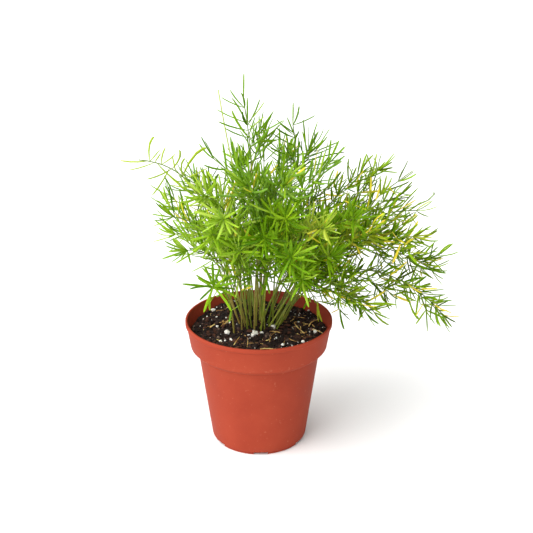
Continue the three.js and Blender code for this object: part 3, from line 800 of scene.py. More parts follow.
blade = {
    "length": 16.0, "width": 1.5, "thickness": 0.64, "sides": 6, "rootWidth": 0.4,
    "stations": (0.05, 0.16, 0.34, 0.62, 0.86, 0.965, 1.0),
    "widths": (0.5, 0.76, 0.96, 1.0, 0.84, 0.5, 0.06),
    "early": 0.667, "late": 0.333, "probed": (0, 3, 5), "smoothDeg": 62,
}
# how far a blade turns over its length, in degrees, and how much of that comes in its last third
bladeBends = {
    "straight": (4, 0.4), "bowed": (15, 0.35), "curved": (32, 0.4), "hooked": (62, 0.62),
    "curled": (105, 0.6), "sickle": (34, 0.4), "scythe": (84, 0.45),
}
# these two bend in the plane of the blade
edgewise = ("sickle", "scythe")


def makeBlade(kind):
    bend, late = bladeBends[kind]
    sides, widest = blade["sides"], blade["width"]
    pick()
    bpy.ops.mesh.primitive_circle_add(vertices=sides, radius=widest / 2 * mm, fill_type="NGON")
    needle = rename("needle_" + kind)
    startEdit(needle)
    flat = [blade["thickness"] / widest * blade["rootWidth"], blade["rootWidth"], 1]
    if kind in edgewise:
        bpy.ops.transform.rotate(value=math.pi / 2, orient_axis="Z", center_override=(0, 0, 0))
        flat[0], flat[1] = flat[1], flat[0]
    bpy.ops.transform.resize(value=flat, center_override=(0, 0, 0))
    centre, heading, before, size = Vector((0, 0, 0)), 0.0, 0.0, blade["rootWidth"]
    for share, width in zip(blade["stations"], blade["widths"]):
        early = min(share, blade["early"]) / blade["early"]
        last = max(0, share - blade["early"]) / blade["late"]
        angle = math.radians(bend) * ((1 - late) * early + late * last)
        length = (share - before) * blade["length"] * mm
        middle = (heading + angle) / 2
        step = Vector((math.sin(middle), 0, math.cos(middle))) * length
        bpy.ops.mesh.extrude_region_move(TRANSFORM_OT_translate={"value": step})
        centre = centre + step
        bpy.ops.transform.resize(value=(width / size,) * 3, center_override=centre)
        bpy.ops.transform.rotate(value=heading - angle, orient_axis="Y", center_override=centre)
        heading, before, size = angle, share, width
    bpy.ops.mesh.merge(type="CENTER")
    endEdit()
    smooth(needle, blade["smoothDeg"])
    # along runs from 0 at the root to 1 at the tip, across from 0 at the edges to 1 at the midrib
    count = len(needle.data.vertices)
    along = np.repeat((0.0,) + blade["stations"][:-1], sides)
    along = np.append(along, np.ones(count - len(along)))
    aside = np.abs(np.sin(np.arange(count) * 2 * math.pi / sides + math.pi / 2))
    return needle, along, 1 - np.where(along < 1, aside, 0)


blades = {kind: makeBlade(kind) for kind in bladeBends}
print("needles modelled")


# tone 0 is dark green and 1 is pale lime; dryness 1 is straw, and below 0 is a blue-green tint that
# is partly the needles' own colour and partly a painted sheen
needleLook = {
    "stops": (0.0, 0.25, 0.5, 0.75, 1.0),
    "tones": (linear(37, 66, 2), linear(64, 105, 2), linear(95, 136, 3), linear(128, 164, 24),
              linear(162, 186, 70)),
    "straw": linear(222, 204, 58), "tan": linear(208, 172, 78), "blueTintAndSheen": linear(116, 156, 62),
    "ribTintAndHighlight": linear(164, 188, 72), "root": linear(72, 104, 10),
    "drift": (90, 3), "toneDrift": (0.3, 0.7, -0.07, 0.07), "sheen": (0.3, 0.7, 0.42, 0.58),
    "roughness": 0.5, "gloss": 0.09, "glow": 0.5, "glowDepth": 0.0008, "glowReach": (0.9, 1.0, 0.2),
    "rootShare": (0.0, 0.2, 0.55, 0), "ribTintAndHighlightShare": (0.72, 1.0, 0, 0.28), "ribs": 26.0,
    "ribRelief": 0.3, "patch": (260, 3), "dryStops": (0.45, 0.85), "relief": (0.2, 0.0001),
}
stemLook = {
    "shade": linear(60, 80, 20), "young": linear(88, 118, 26), "green": linear(132, 156, 36),
    "brown": linear(158, 112, 70), "straw": linear(200, 184, 96),
    "stretch": 0.12, "streak": (900, 3), "shadeShare": (0, 1, 0.7, 0),
    "brownShare": (0.3, 0.7, 0.5, 1), "strawShare": (0.5, 0.8, 0, 0.4), "relief": (0.3, 0.0002),
    "roughness": 0.5, "gloss": 0.4, "glow": 0.08, "glowDepth": 0.001,
}


def growthParts(tree):
    growth = addNode(tree, "Attribute", attribute_name="growth").outputs
    parts = addNode(tree, "SeparateColor", {"Color": growth["Color"]}).outputs
    return parts["Red"], parts["Green"], parts["Blue"], growth["Alpha"]


def needleMaterial():
    look = needleLook
    material, tree, shader, place = startMaterial("fern_needle", look)
    tone, drynessAndSheen, along, across = growthParts(tree)
    drift = addNoise(tree, place, *look["drift"])
    tone = addMath(tree, "ADD", tone, addRange(tree, drift, *look["toneDrift"]), clamp=True)
    colour = addRamp(tree, tone, *zip(look["stops"], look["tones"]))
    colour = layOver(tree, colour, along, look["rootShare"], look["root"])
    # the midrib is paler: partly its own colour and partly a painted highlight along the ridge
    colour = layOver(tree, colour, across, look["ribTintAndHighlightShare"], look["ribTintAndHighlight"])
    patch = addNoise(tree, place, *look["patch"])
    dryColour = addRamp(tree, patch, *zip(look["dryStops"], (look["straw"], look["tan"])))
    # a value below 0 mixes in the blue-green tint, partly the needles' own colour and partly a
    # painted sheen
    colour = addMix(tree, addRange(tree, drynessAndSheen, 0, -1), colour, look["blueTintAndSheen"])
    colour = addMix(tree, addMath(tree, "MAXIMUM", drynessAndSheen, 0), colour, dryColour)
    ribs = addMath(tree, "SINE", addMath(tree, "MULTIPLY", across, look["ribs"]), 0)
    relief = addMath(tree, "ADD", addMath(tree, "MULTIPLY", ribs, look["ribRelief"]), patch)
    sheen = addRange(tree, drift, *look["sheen"])
    finishMaterial(tree, shader, colour, relief, *look["relief"], sheen)
    return material


def stemMaterial():
    look = stemLook
    material, tree, shader, place = startMaterial("fern_stem", look)
    tone, browning, along, across = growthParts(tree)
    streak = addNoise(tree, addStretch(tree, place, look["stretch"]), *look["streak"])
    colour = addMix(tree, along, look["green"], look["young"])
    colour = layOver(tree, colour, tone, look["shadeShare"], look["shade"])
    browned = addMath(tree, "MULTIPLY", browning, addRange(tree, streak, *look["brownShare"]))
    colour = addMix(tree, browned, colour, look["brown"])
    colour = layOver(tree, colour, streak, look["strawShare"], look["straw"])
    finishMaterial(tree, shader, colour, streak, *look["relief"])
    return material


needleFinish, stemFinish = needleMaterial(), stemMaterial()
for needle, along, across in blades.values():
    coat(needle, needleFinish)

# needles that stand out against the background, placed one by one: share along the stem, end in mm,
# width in mm, tone, and the bend with where it curls to, unless it is straight
handGrown = {
    "spire": (
        (0.98, -9, -3, 261, 1.1, 0.55), (0.95, -11, -1, 248, 1.15, 0.32, "sickle left"),
        (0.95, -18, 3, 249, 1.1, 0.44, "sickle up"), (0.95, -24, 4, 244, 0.85, 0.5, "sickle up"),
        (0.88, -7, -1, 245, 1.15, 0.5), (0.88, 1, 3, 243, 1.15, 0.45, "sickle up"),
        (0.89, 4, 4, 241, 0.85, 0.85, "sickle up"), (0.88, -10, -2, 236, 1.5, 0.2, "sickle right"),
        (0.88, -17, 1, 244, 1.1, 0.45, "sickle left"), (0.89, -27, 4, 236, 0.85, 0.55, "sickle up"),
        (0.86, -26, 0, 229, 1.1, 0.42, "sickle up"), (0.83, -17, -2, 237, 1.5, 0.62, "sickle up"),
        (0.82, 10, 4, 235, 1.2, 0.45, "sickle up"), (0.84, -2, 0, 232, 0.95, 0.5),
        (0.86, 4, 5, 231, 0.85, 0.85), (0.83, -22, 3, 224, 1, 0.4, "sickle up"),
    ),
    "right_spire": (
        (0.96, 15, 14, 224, 1, 0.4), (0.9, 10, 19, 216, 1, 0.36, "sickle up"),
        (0.9, 25, 15, 217, 1.1, 0.5), (0.85, 8, 12, 208, 1, 0.45, "sickle up"),
        (0.85, 24, 19, 208, 1, 0.5), (1, 23, 16, 238, 1, 0.62),
        (1, 27, 19, 235, 1.2, 0.4, "sickle left"), (1, 38, 21, 228, 0.9, 0.42, "sickle up"),
        (0.93, 27, 14, 219, 1.1, 0.35), (0.95, 19, 16, 228, 1, 0.5),
        (0.95, 12, 19, 226, 0.85, 0.55, "sickle up"), (0.94, 12, 15, 221, 1.15, 0.3, "sickle up"),
    ),
    "right_spire_low": (
        (0.96, 27, 26, 212, 1, 0.4, "sickle up"), (0.92, 40, 20, 211, 1, 0.5),
        (0.9, 21, 25, 205, 1, 0.45, "sickle up"), (0.87, 43, 19, 201, 0.95, 0.3, "sickle down"),
        (0.9, 52, 18, 198, 0.9, 0.3, "sickle up"), (0.98, 30, 23, 225, 1.1, 0.45),
        (0.99, 40, 28, 222, 0.9, 0.5), (0.99, 44, 29, 217, 0.85, 0.4, "hooked up"),
        (0.96, 44, 23, 209, 0.75, 0.4, "sickle down"), (0.95, 52, 25, 206, 0.75, 0.45, "sickle up"),
        (0.93, 59, 20, 203, 0.9, 0.12, "sickle down"),
    ),
    "side_spire": (
        (0.99, 7, 11, 229, 1.2, 0.68), (0.99, 14, 16, 223, 1.15, 0.62, "sickle up"),
        (0.96, -2, 11, 220, 1, 0.45), (0.93, 11, 15, 213, 1, 0.5, "sickle up"),
        (0.92, -5, 8, 210, 1, 0.4, "sickle up"),
    ),
    "high_left": (
        (0.78, -14, -28, 198, 1.2, "straw"),
    ),
    "crest_left": (
        (0.93, -1, -43, 207, 1.5, "straw"),
    ),
    "mid_left": (
        (0.69, -14, -25, 174, 1, "straw"),
    ),
    "far_left_arch": (
        (0.96, -91, 4, 202, 1.15, 0.9, "sickle up"), (0.93, -85, 2, 196, 0.85, 0.78, "sickle up"),
        (0.95, -68, 7, 217, 1.15, 0.76, "scythe right"), (0.95, -65, 8, 208, 0.85, 0.71),
        (0.93, -64, 3, 207, 0.9, 0.66), (0.9, -61, 7, 210, 1.05, 0.82, "sickle right"),
        (0.9, -55, 9, 205, 0.95, 0.86, "sickle up"), (0.85, -52, 4, 209, 1.1, 0.71, "scythe left"),
        (0.83, -57, 8, 204, 1, 0.82), (0.79, -48, 5, 203, 1, 0.76, "scythe right"),
        (0.79, -34, 4, 210, 1.5, 0.82, "scythe right"),
        (0.78, -34, 10, 195, 0.9, 0.86, "sickle up"), (0.85, -74, 4, 189, 1.1, 0.66, "sickle up"),
        (0.86, -71, 3, 178, 1, 0.58, "sickle left"), (0.92, -51, 2, 186, 1.1, 0.56, "sickle right"),
    ),
    "right_crest": (
        (0.98, 69, 18, 200, 1.15, 0.45), (0.96, 60, 23, 195, 0.75, 0.7),
        (0.93, 66, 15, 194, 1.3, 0.62),
    ),
    "right_high": (
        (0.97, 74, 31, 199, 0.9, 0.34), (0.98, 79, 33, 195, 0.85, 0.34, "scythe left"),
        (1, 92, 31, 193, 1.3, 0.36), (1, 92, 27, 190, 1.4, 0.2), (1, 95, 25, 187, 1, 0.46),
    ),
    "right_far_high": (
        (1, 102, 36, 188, 0.85, 0.34, "sickle right"), (0.99, 108, 38, 184, 0.85, 0.4, "sickle up"),
        (0.93, 104, 28, 180, 1.15, 0.2, "sickle up"),
    ),
    "right_mid_high": (
        (0.83, 74, -1, 192, 1.15, "straw", "sickle left"), (0.83, 56, -2, 176, 1.2, "straw"),
        (0.93, 98, 2, 174, 1.3, 0.16, "sickle down"), (1, 87, 7, 183, 0.85, "tan", "sickle up"),
    ),
    "right_far": (
        (0.9, 108, 18, 170, 0.95, "straw"), (0.91, 120, 23, 174, 0.75, 0.4, "curled up"),
        (0.91, 110, 25, 176, 1, 0.45, "sickle down"), (0.93, 107, 20, 172, 1, 0.36, "sickle right"),
        (0.97, 116, 27, 166, 0.85, 0.34, "sickle down"), (1, 118, 23, 156, 0.95, 0.4, "sickle up"),
    ),
    "right_drooping_back": (
        (0.89, 120, 17, 128, 0.95, 0.32, "sickle up"), (0.98, 124, 14, 129, 1.4, 0.55),
        (0.95, 126, 11, 121, 1, 0.34, "sickle up"),
    ),
    "right_drooping": (
        (0.82, 122, -6, 114, 1.15, "straw"), (0.78, 120, 1, 113, 1.1, 0.3, "sickle up"),
        (0.84, 128, 2, 110, 0.85, 0.36), (0.85, 128, 0, 107, 0.9, 0.36, "sickle up"),
        (0.9, 129, 2, 103, 0.9, 0.36, "sickle up"), (0.92, 130, -4, 107, 0.9, 0.36, "sickle up"),
        (0.93, 128, -6, 97, 1, "straw"), (0.95, 134, 0, 93, 0.75, "straw"),
        (0.98, 137, 1, 86, 0.9, 0.34, "sickle up"), (0.98, 134, -4, 84, 1.2, 0.3),
        (0.95, 125, 0, 84, 1.1, 0.34, "sickle right"), (0.88, 117, -5, 81, 1, 0.34),
        (0.84, 108, -6, 94, 1.4, 0.55), (0.76, 111, -2, 90, 1.05, 0.52, "scythe right"),
        (0.77, 109, 2, 102, 0.95, 0.26), (0.68, 99, -5, 117, 1, 0.5, "hooked right"),
    ),
    "right_low_back": (
        (0.94, 91, 7, 98, 0.9, 0.3, "sickle right"), (0.96, 98, 11, 99, 0.9, 0.3, "sickle up"),
    ),
    "right_low_front": (
        (0.92, 93, -18, 107, 1.25, 0.56, "sickle down"),
    ),
    "front_left": (
        (0.41, -5, -29, 125, 1.3, "straw"),
    ),
    "low_left": (
        (0.99, -50, -35, 130, 1.6, 0.4), (0.99, -40, -30, 132, 1.4, 0.56),
        (0.99, -38, -29, 125, 1.3, 0.2, "sickle down"),
        (0.99, -45, -37, 127, 1.5, 0.24, "sickle down"), (0.99, -39, -32, 117, 1.45, 0.34),
        (0.99, -36, -38, 111, 1.8, 0.66), (0.99, -32, -35, 111, 1.5, 0.62, "sickle right"),
        (0.99, -18, -37, 111, 1.75, 0.72, "sickle down"),
        (0.99, -14, -31, 118, 1.5, 0.62, "sickle down"), (0.99, -15, -38, 132, 1.7, 0.52),
        (0.99, -17, -29, 124, 1.5, 0.36), (0.98, -15, -32, 134, 1.7, 0.3, "sickle down"),
        (0.98, -21, -36, 137, 1.2, 0.78, "sickle up"), (0.98, -25, -30, 140, 1.5, 0.5),
        (0.98, -35, -34, 142, 1.6, 0.5), (0.98, -30, -31, 144, 1.8, 0.48),
    ),
    "side_left": (
        (1, -61, -20, 151, 1.2, 0.6, "sickle up"), (1, -59, -23, 148, 1.5, 0.78),
        (1, -56, -16, 142, 1.15, 0.45, "sickle up"), (1, -51, -21, 142, 1.15, 0.84),
        (1, -45, -19, 138, 1.4, 0.6), (0.96, -35, -21, 153, 1.4, 0.8),
        (0.9, -31, -20, 159, 1.4, 0.84),
    ),
    "left_low": (
        (1, -62, 12, 145, 1.4, 0.72), (0.95, -62, 17, 141, 0.95, 0.25, "sickle up"),
        (0.98, -69, 17, 158, 0.95, 0.26, "sickle left"), (0.97, -63, 14, 153, 1.1, 0.5),
    ),
    "left_front": (
        (1, -69, -10, 165, 0.9, 0.4, "sickle up"), (1, -67, -14, 179, 0.95, 0.3, "sickle up"),
        (0.99, -63, -9, 175, 1.2, 0.5), (0.99, -58, -15, 190, 1.2, 0.26),
        (0.93, -52, -6, 185, 1.3, 0.28, "sickle left"),
        (0.9, -47, -15, 181, 1.3, 0.76, "sickle left"),
    ),
    "back_left_dark": (
        (0.95, -65, 26, 164, 1.1, 0.8, "sickle down"),
        (0.96, -65, 34, 170, 0.95, 0.46, "sickle down"), (0.98, -65, 30, 177, 0.85, 0.5),
    ),
}
# these stems carry no other needles past the first placed one
handOnly = ("spire", "right_spire", "far_left_arch", "low_left")
curls = {"left": (-1, 0, 0.1), "right": (1, 0, 0.1), "up": (0, -0.1, 1), "down": (0, -0.1, -1),
         "near": (0, -1, 0.3)}
# how dry a placed needle is where its tone is a word
dryTones = {"straw": 0.92, "tan": 0.7}

# kinds of growth: dry is the share of straw-coloured needles and drift how dry the others are,
# or below 0 how much blue-green tint, partly a painted sheen, they take; length, width and
# spacing of nodes are in mm, apart is in degrees, star is how many needles end a stem, and twigs
# is the share of nodes with a side twig
plainGrowth = dict(
    spread=0.13, dry=0.01, drift=0.05, length=17, width=1.5, bends="straight sickle bowed curved",
    star=12, spacing=5.4, each=(2, 4), apart=19, twigs=0.65, twigLength=(8, 15),
)
# the tones of the kinds are partly the fern's own colour and partly painted light and shade: paler
# for the kinds on the left, darker for those on the lower right and at the back
growths = {
    "limeStar": dict(tone=0.78, spread=0.1, drift=-0.2, length=17.5, width=1.7, star=13),
    "paleStar": dict(tone=0.84, spread=0.09, drift=-0.3, length=18, width=1.65),
    "leafStar": dict(tone=0.52, width=1.6),
    "coolStar": dict(tone=0.6, spread=0.12, drift=-0.6, length=19, width=1.8,
                     bends="straight sickle bowed", star=16, spacing=8.5, each=(1, 2),
                     twigs=0.15),
    "freshStar": dict(tone=0.56, spread=0.11, drift=-0.1, length=16.5, width=1.65,
                      bends="straight sickle bowed", star=14, apart=18),
    "crestStar": dict(tone=0.64, spread=0.14, drift=-1, length=18.5, width=1.55, star=11,
                      apart=20, twigLength=(10, 18)),
    "deepStar": dict(tone=0.42, length=18, apart=18),
    "yellowStar": dict(tone=0.9, spread=0.05, dry=0.06, drift=0.25, length=15, width=1.35,
                       bends="straight sickle bowed", apart=18, twigs=0.8, twigLength=(8, 14)),
    "lime": dict(tone=0.72, spread=0.14, dry=0.04, drift=-0.15, length=17.5,
                 bends="sickle bowed straight curved hooked", star=7, spacing=6.6, each=(1, 3),
                 apart=22, twigs=0.4, twigLength=(9, 18)),
    "loose": dict(tone=0.68, spread=0.14, dry=0.03, drift=-0.2, length=18, width=1.35,
                  bends="sickle bowed straight curved hooked", star=6, spacing=7.5, each=(1, 2),
                  apart=24, twigs=0.3, twigLength=(9, 14)),
    "paleArch": dict(tone=0.7, spread=0.1, drift=0.35, length=16, width=1.25,
                     bends="sickle bowed hooked", star=0, spacing=8.5, each=(1, 2), apart=30,
                     twigs=0.1, twigLength=(6, 9)),
    "spire": dict(tone=0.46, spread=0.12, drift=-0.2, length=19, width=1.35,
                  bends="straight sickle bowed", star=3, spacing=9.5, each=(2, 3), apart=28,
                  twigs=0.35, twigLength=(8, 14)),
    "sparse": dict(tone=0.52, spread=0.12, drift=-0.3, width=1.35, bends="straight sickle bowed",
                   star=3, spacing=9, each=(1, 2), apart=28, twigs=0.2, twigLength=(8, 14)),
    "fresh": dict(tone=0.6, spread=0.14, dry=0.02, drift=-0.7, length=18,
                  bends="sickle straight bowed curved", star=6, spacing=5.8, each=(2, 3),
                  apart=22, twigs=0.8, twigLength=(10, 18)),
    "thin": dict(tone=0.58, spread=0.18, dry=0.04, drift=0.15, length=16.5, width=1.4, star=3,
                 spacing=7.2, each=(1, 2), apart=24, twigs=0.4, twigLength=(10, 18)),
    "dark": dict(tone=0.46, spread=0.15, dry=0.05, drift=0.15, length=16.5, star=6, spacing=5.6,
                 each=(2, 3), apart=22, twigs=0.85, twigLength=(11, 22)),
    "deep": dict(tone=0.46, spread=0.16, dry=0.03, drift=-0.25, star=8, spacing=5.6, apart=22,
                 twigs=0.85, twigLength=(10, 17)),
    "olive": dict(tone=0.44, spread=0.22, dry=0.12, drift=0.3, length=15, width=1.55,
                  bends="sickle bowed curved straight hooked", star=8, spacing=4.4, apart=22,
                  twigs=1, twigLength=(11, 22)),
    "tail": dict(tone=0.42, spread=0.16, dry=0.05, drift=0.15, length=14.5, width=1.45,
                 bends="sickle bowed curved straight", star=4, spacing=5.6, each=(2, 3),
                 apart=22, twigs=0.7, twigLength=(10, 18)),
}

# how a stem carries its needles: lengths in mm, tilts from the stem in degrees
habit = {
    "seed": 500, "turnDeg": 137.5, "turnPlay": 25, "fanDeg": 74, "lowTilt": 78, "topTilt": 50,
    "tiltBelow": 26, "tiltAbove": 14, "sizes": (0.78, 1.14), "second": 0.6, "onSecond": (1, 2),
    "spacingPlay": (0.8, 1.2), "barePlay": (0.94, 1.0), "stopShort": 3, "aloneShort": 4,
    "stemFoot": 0.58, "footPlay": (0.68, 1.25), "stemEnd": 0.36, "browned": 1.1, "greener": 0.4,
    "browningFade": 1.3, "stemSteps": 80, "stemPieces": 16, "lift": 0.14, "tries": 8,
    "dryTone": 0.8, "placedDrift": 0.4, "ahead": 0.01, "starFrom": 0.97,
}
# a star of 12 or more is a wide ring, a heart of two needles and a skirt of four that stands
# skirtAt mm further back, and the ring has as many fewer than the star as these two have; after
# how many come the tilts in degrees and the sizes
fullStar = {
    "from": 12, "others": 6, "ring": ((50, 84), (0.72, 1.15)), "heart": (2, (8, 40), (0.6, 0.85)),
    "skirt": (4, (62, 96), (0.7, 1.1)), "skirtAt": 3.5,
}
looseStar = ((10, 52), (0.7, 1.05))
twigShape = {
    "line": ((0, 0, 0), (0, 0, 3.3), (0.5, 0, 6.6), (1.6, 0, 10)), "length": 10,
    "radii": (0.22, 0.14), "tint": (0.5, 0.1, 0.8), "tilt": (30, 72), "below": 0.93,
    "shorter": 0.35, "spacing": 4.0, "each": (2, 3), "end": (3, 5), "room": 0.7,
    "eachTilt": (34, 84), "endTilt": (8, 58), "sizes": (0.7, 1.05), "up": 0.4, "ahead": 0.02,
    "firstNode": 0.7, "nodePlay": (-0.15, 0.15),
}
# how a needle differs from the next
play = {
    "spin": 0.42, "kindSkew": 1.1, "widthPower": 0.6, "width": (0.86, 1.1), "dry": (0.6, 1.0),
    "curlAlong": (0.2, 1), "curlUp": 0.6, "curlTurn": 0.45,
}
# what needles keep clear of one another, of the rim and of the mix, and how far they may reach
# past the frame's box, in mm; tip is a share of the room that a needle has
room = {"needle": 0.6, "tip": 0.8, "rim": 1.6, "soil": 3.0, "box": 7.5, "window": 16}
lowCorner = np.array(cadBox[0]) / mm - room["box"]
highCorner = np.array(cadBox[1]) / mm + room["box"]
# straight pieces that stand for stems, twigs and needles, none of which another may touch
mostPieces = 40000
taken = {
    "from": np.zeros((mostPieces, 3)), "to": np.zeros((mostPieces, 3)),
    "group": np.zeros(mostPieces, int), "count": 0,
}
clusters = {"count": 1000}


def hold(a, b, group):
    n = taken["count"]
    taken["from"][n], taken["to"][n], taken["group"][n] = a, b, group
    taken["count"] = n + 1


def roomFor(a, b, group, gap):
    starts, ends = taken["from"][:taken["count"]], taken["to"][:taken["count"]]
    near = np.abs((starts + ends) / 2 - (a + b) / 2).max(axis=1) < room["window"]
    near &= taken["group"][:taken["count"]] != group
    rows = np.flatnonzero(near)
    return not len(rows) or segmentGaps(a[None], b[None], starts[rows], ends[rows]).min() > gap


def inTheOpen(p):
    if (p < lowCorner).any() or (p > highCorner).any():
        return False
    r, rim = math.hypot(p[0], p[1]), potShape["rimRadius"]
    top = potShape["height"] + room["rim"]
    if p[2] < top and insideRadius(p[2]) - room["rim"] < r < rim + room["rim"]:
        return False
    return r > rim or p[2] > soilLevel(p[0], p[1]) + room["soil"]


def bladeLine(matrix, kind):
    vertices, sides = blades[kind][0].data.vertices, blade["sides"]
    middles = [sum((vertices[sides * k + i].co for i in range(sides)), Vector()) / sides
               for k in blade["probed"]]
    return [np.array(matrix @ middle) / mm for middle in middles + [vertices[-1].co]]


def bladeScale(kind, length, width):
    wide = width / blade["width"]
    across = (wide, 1) if kind in edgewise else (1, wide)
    return Matrix.Diagonal((*across, length / blade["length"], 1))


def stand(root, x, z, scale):
    turn = Matrix((x, z.cross(x), z)).transposed().to_4x4()
    return Matrix.Translation(root) @ turn @ scale


def setNeedle(parts, matrix, kind, line, group, tone, drynessAndSheen):
    hold(line[0] + (line[1] - line[0]) * 0.5, line[1], group)
    hold(line[1], line[2], group)
    hold(line[2], line[3], group)
    needle, along, across = blades[kind]
    parts.append(copyOf(needle, matrix, "growth", tone, drynessAndSheen, along, across))


def tryNeedle(parts, root, direction, curlTo, kind, length, width, group, tone, drynessAndSheen, draw):
    z = direction.normalized()
    x = curlTo - z * curlTo.dot(z)
    x = x.normalized() if x.length > 1e-4 else z.orthogonal().normalized()
    x = (Matrix.Rotation(draw.gauss(0, play["curlTurn"]), 3, z) @ x).normalized()
    matrix = stand(Vector(root) * mm, x, z, bladeScale(kind, length, width))
    line = bladeLine(matrix, kind)
    if not all(inTheOpen(p) for p in line[1:]):
        return False
    ends = [line[0] + (line[1] - line[0]) * 0.5] + line[1:]
    gaps = (room["needle"], room["needle"], room["needle"] * room["tip"])
    if not all(roomFor(a, b, group, gap) for a, b, gap in zip(ends, ends[1:], gaps)):
        return False
    setNeedle(parts, matrix, kind, line, group, tone, drynessAndSheen)
    return True


# the blade's own chord is turned onto the line from root to tip
def aimNeedle(parts, root, tip, kind, curl, width, tone, drift, group):
    span = Vector(tip) - Vector(root)
    end = blades[kind][0].data.vertices[-1].co / mm
    wide = bladeScale(kind, 1, width)[0][0]
    rise = math.sqrt(max(1, span.length ** 2 - (end.x * wide) ** 2))
    lean = math.atan2(end.x * wide, rise)
    ahead, aside = span.normalized(), Vector(curls[curl])
    aside = (aside - ahead * aside.dot(ahead)).normalized()
    z = ahead * math.cos(lean) - aside * math.sin(lean)
    x = aside * math.cos(lean) + ahead * math.sin(lean)
    scale = bladeScale(kind, rise / end.z * blade["length"], width)
    matrix = stand(Vector(root) * mm, x, z, scale)
    drynessAndSheen = dryTones.get(tone, drift)
    if tone in dryTones:
        tone = habit["dryTone"]
    setNeedle(parts, matrix, kind, bladeLine(matrix, kind), group, tone, drynessAndSheen)


# needles from one point, fanned to one side of the axis or, with no side given, evenly round it
def cluster(parts, draw, growth, root, axis, count, tilts, sizes=habit["sizes"], side=None):
    group = clusters["count"]
    clusters["count"] += 1
    even = side is None
    if even:
        side = axis.orthogonal()
    axis = axis.normalized()
    side = (side - axis * side.dot(axis)).normalized()
    other = axis.cross(side)
    fan = math.radians(habit["fanDeg"])
    kinds = growth["bends"].split()
    tooNear = math.cos(math.radians(growth["apart"]))
    directions = []
    first = draw.uniform(0, 2 * math.pi)
    for i in range(count):
        for attempt in range(habit["tries"]):
            if even:
                spin = first + 2 * math.pi * (i + draw.uniform(-play["spin"], play["spin"])) / count
            else:
                spin = draw.uniform(-fan, fan)
            tilt = math.radians(draw.uniform(*tilts))
            outward = side * math.cos(spin) + other * math.sin(spin)
            direction = axis * math.cos(tilt) + outward * math.sin(tilt)
            direction = (direction + upward * habit["lift"]).normalized()
            if any(direction.dot(earlier) > tooNear for earlier in directions):
                continue
            pickKind = int(draw.random() ** play["kindSkew"] * len(kinds))
            kind = kinds[min(pickKind, len(kinds) - 1)]
            size = draw.uniform(*sizes)
            width = growth["width"] * size ** play["widthPower"] * draw.uniform(*play["width"])
            tone = min(1, max(0, growth["tone"] + draw.gauss(0, growth["spread"])))
            if draw.random() < growth["dry"]:
                drynessAndSheen = draw.uniform(*play["dry"])
            else:
                drynessAndSheen = growth["drift"] * draw.random() ** 2
            curlTo = axis * draw.uniform(*play["curlAlong"]) + upward * play["curlUp"]
            if tryNeedle(parts, root, direction, curlTo, kind, growth["length"] * size, width,
                         group, tone, drynessAndSheen, draw):
                directions.append(direction)
                break


# steps round a tube and along it
tubeSteps = {"fine": (2, 26), "coarse": (1, 5)}


# a bent round tube along a bezier line given by four points in mm
def tube(name, points, radii, steps="fine"):
    pick()
    bpy.ops.curve.primitive_bezier_curve_add(location=(0, 0, 0), rotation=(0, 0, 0))
    line = rename(name)
    first, last = line.data.splines[0].bezier_points
    for end in (first, last):
        end.handle_left_type = end.handle_right_type = "FREE"
    handles = [Vector(p) * mm for p in points]
    first.co, first.handle_right, last.handle_left, last.co = handles
    first.handle_left = handles[0] * 2 - handles[1]
    last.handle_right = handles[3] * 2 - handles[2]
    first.radius, last.radius = 1, radii[1] / radii[0]
    line.data.bevel_depth = radii[0] * mm
    line.data.bevel_resolution, line.data.resolution_u = tubeSteps[steps]
    line.data.use_fill_caps = True
    pick(line)
    bpy.ops.object.convert(target="MESH")
    bpy.ops.object.shade_smooth()
    return bpy.context.object


def stemTube(name, handles, radii, browning, tone=0.7):
    obj = tube(name, handles, radii)
    places = np.array([vertex.co for vertex in obj.data.vertices]) / mm
    line = alongStem(handles, np.linspace(0, 1, habit["stemSteps"]))[0]
    nearest = np.linalg.norm(places[:, None] - line[None], axis=2).argmin(axis=1)
    along = nearest / (habit["stemSteps"] - 1)
    browned = np.clip(browning * (1 - along * habit["browningFade"]), 0, 1)
    tint(obj, "growth", tone, browned, along)
    coat(obj, stemFinish)
    return obj


twigPattern = tube("twig", twigShape["line"], twigShape["radii"], "coarse")
tint(twigPattern, "growth", *twigShape["tint"])
coat(twigPattern, stemFinish)


def headingAt(handles, start, end):
    places, _ = alongStem(handles, [start, end])
    return places, Vector(places[1] - places[0]).normalized()


def sideOf(axis, spin):
    return Matrix.Rotation(spin, 3, axis) @ axis.orthogonal().normalized()


def growTwig(parts, draw, growth, root, direction, curlTo, length, group):
    z = direction.normalized()
    x = (curlTo - z * curlTo.dot(z)).normalized()
    scale = Matrix.Diagonal((1, 1, length / twigShape["length"], 1))
    inMm = stand(Vector(root), x, z, scale)
    handles = np.array([inMm @ Vector(p) for p in twigShape["line"]])
    start = handles[0] + (handles[1] - handles[0]) * 0.5
    if not all(inTheOpen(p) for p in handles[1:]):
        return
    if not roomFor(start, handles[3], group, twigShape["room"]):
        return
    hold(start, handles[3], group)
    parts.append(copyOf(twigPattern, stand(Vector(root) * mm, x, z, scale)))
    nodes = max(1, round(length / twigShape["spacing"]) - 1)
    spin = draw.uniform(0, 2 * math.pi)
    for k in range(nodes):
        share = k + twigShape["firstNode"] + draw.uniform(*twigShape["nodePlay"])
        share /= nodes + twigShape["firstNode"]
        places, along = headingAt(handles, share, min(1, share + twigShape["ahead"]))
        spin += math.radians(habit["turnDeg"])
        cluster(parts, draw, growth, places[0], along, draw.randint(*twigShape["each"]),
                twigShape["eachTilt"], twigShape["sizes"], sideOf(along, spin))
    end = Vector(handles[3] - handles[2]).normalized()
    cluster(parts, draw, growth, handles[3], end, draw.randint(*twigShape["end"]),
            twigShape["endTilt"], twigShape["sizes"])


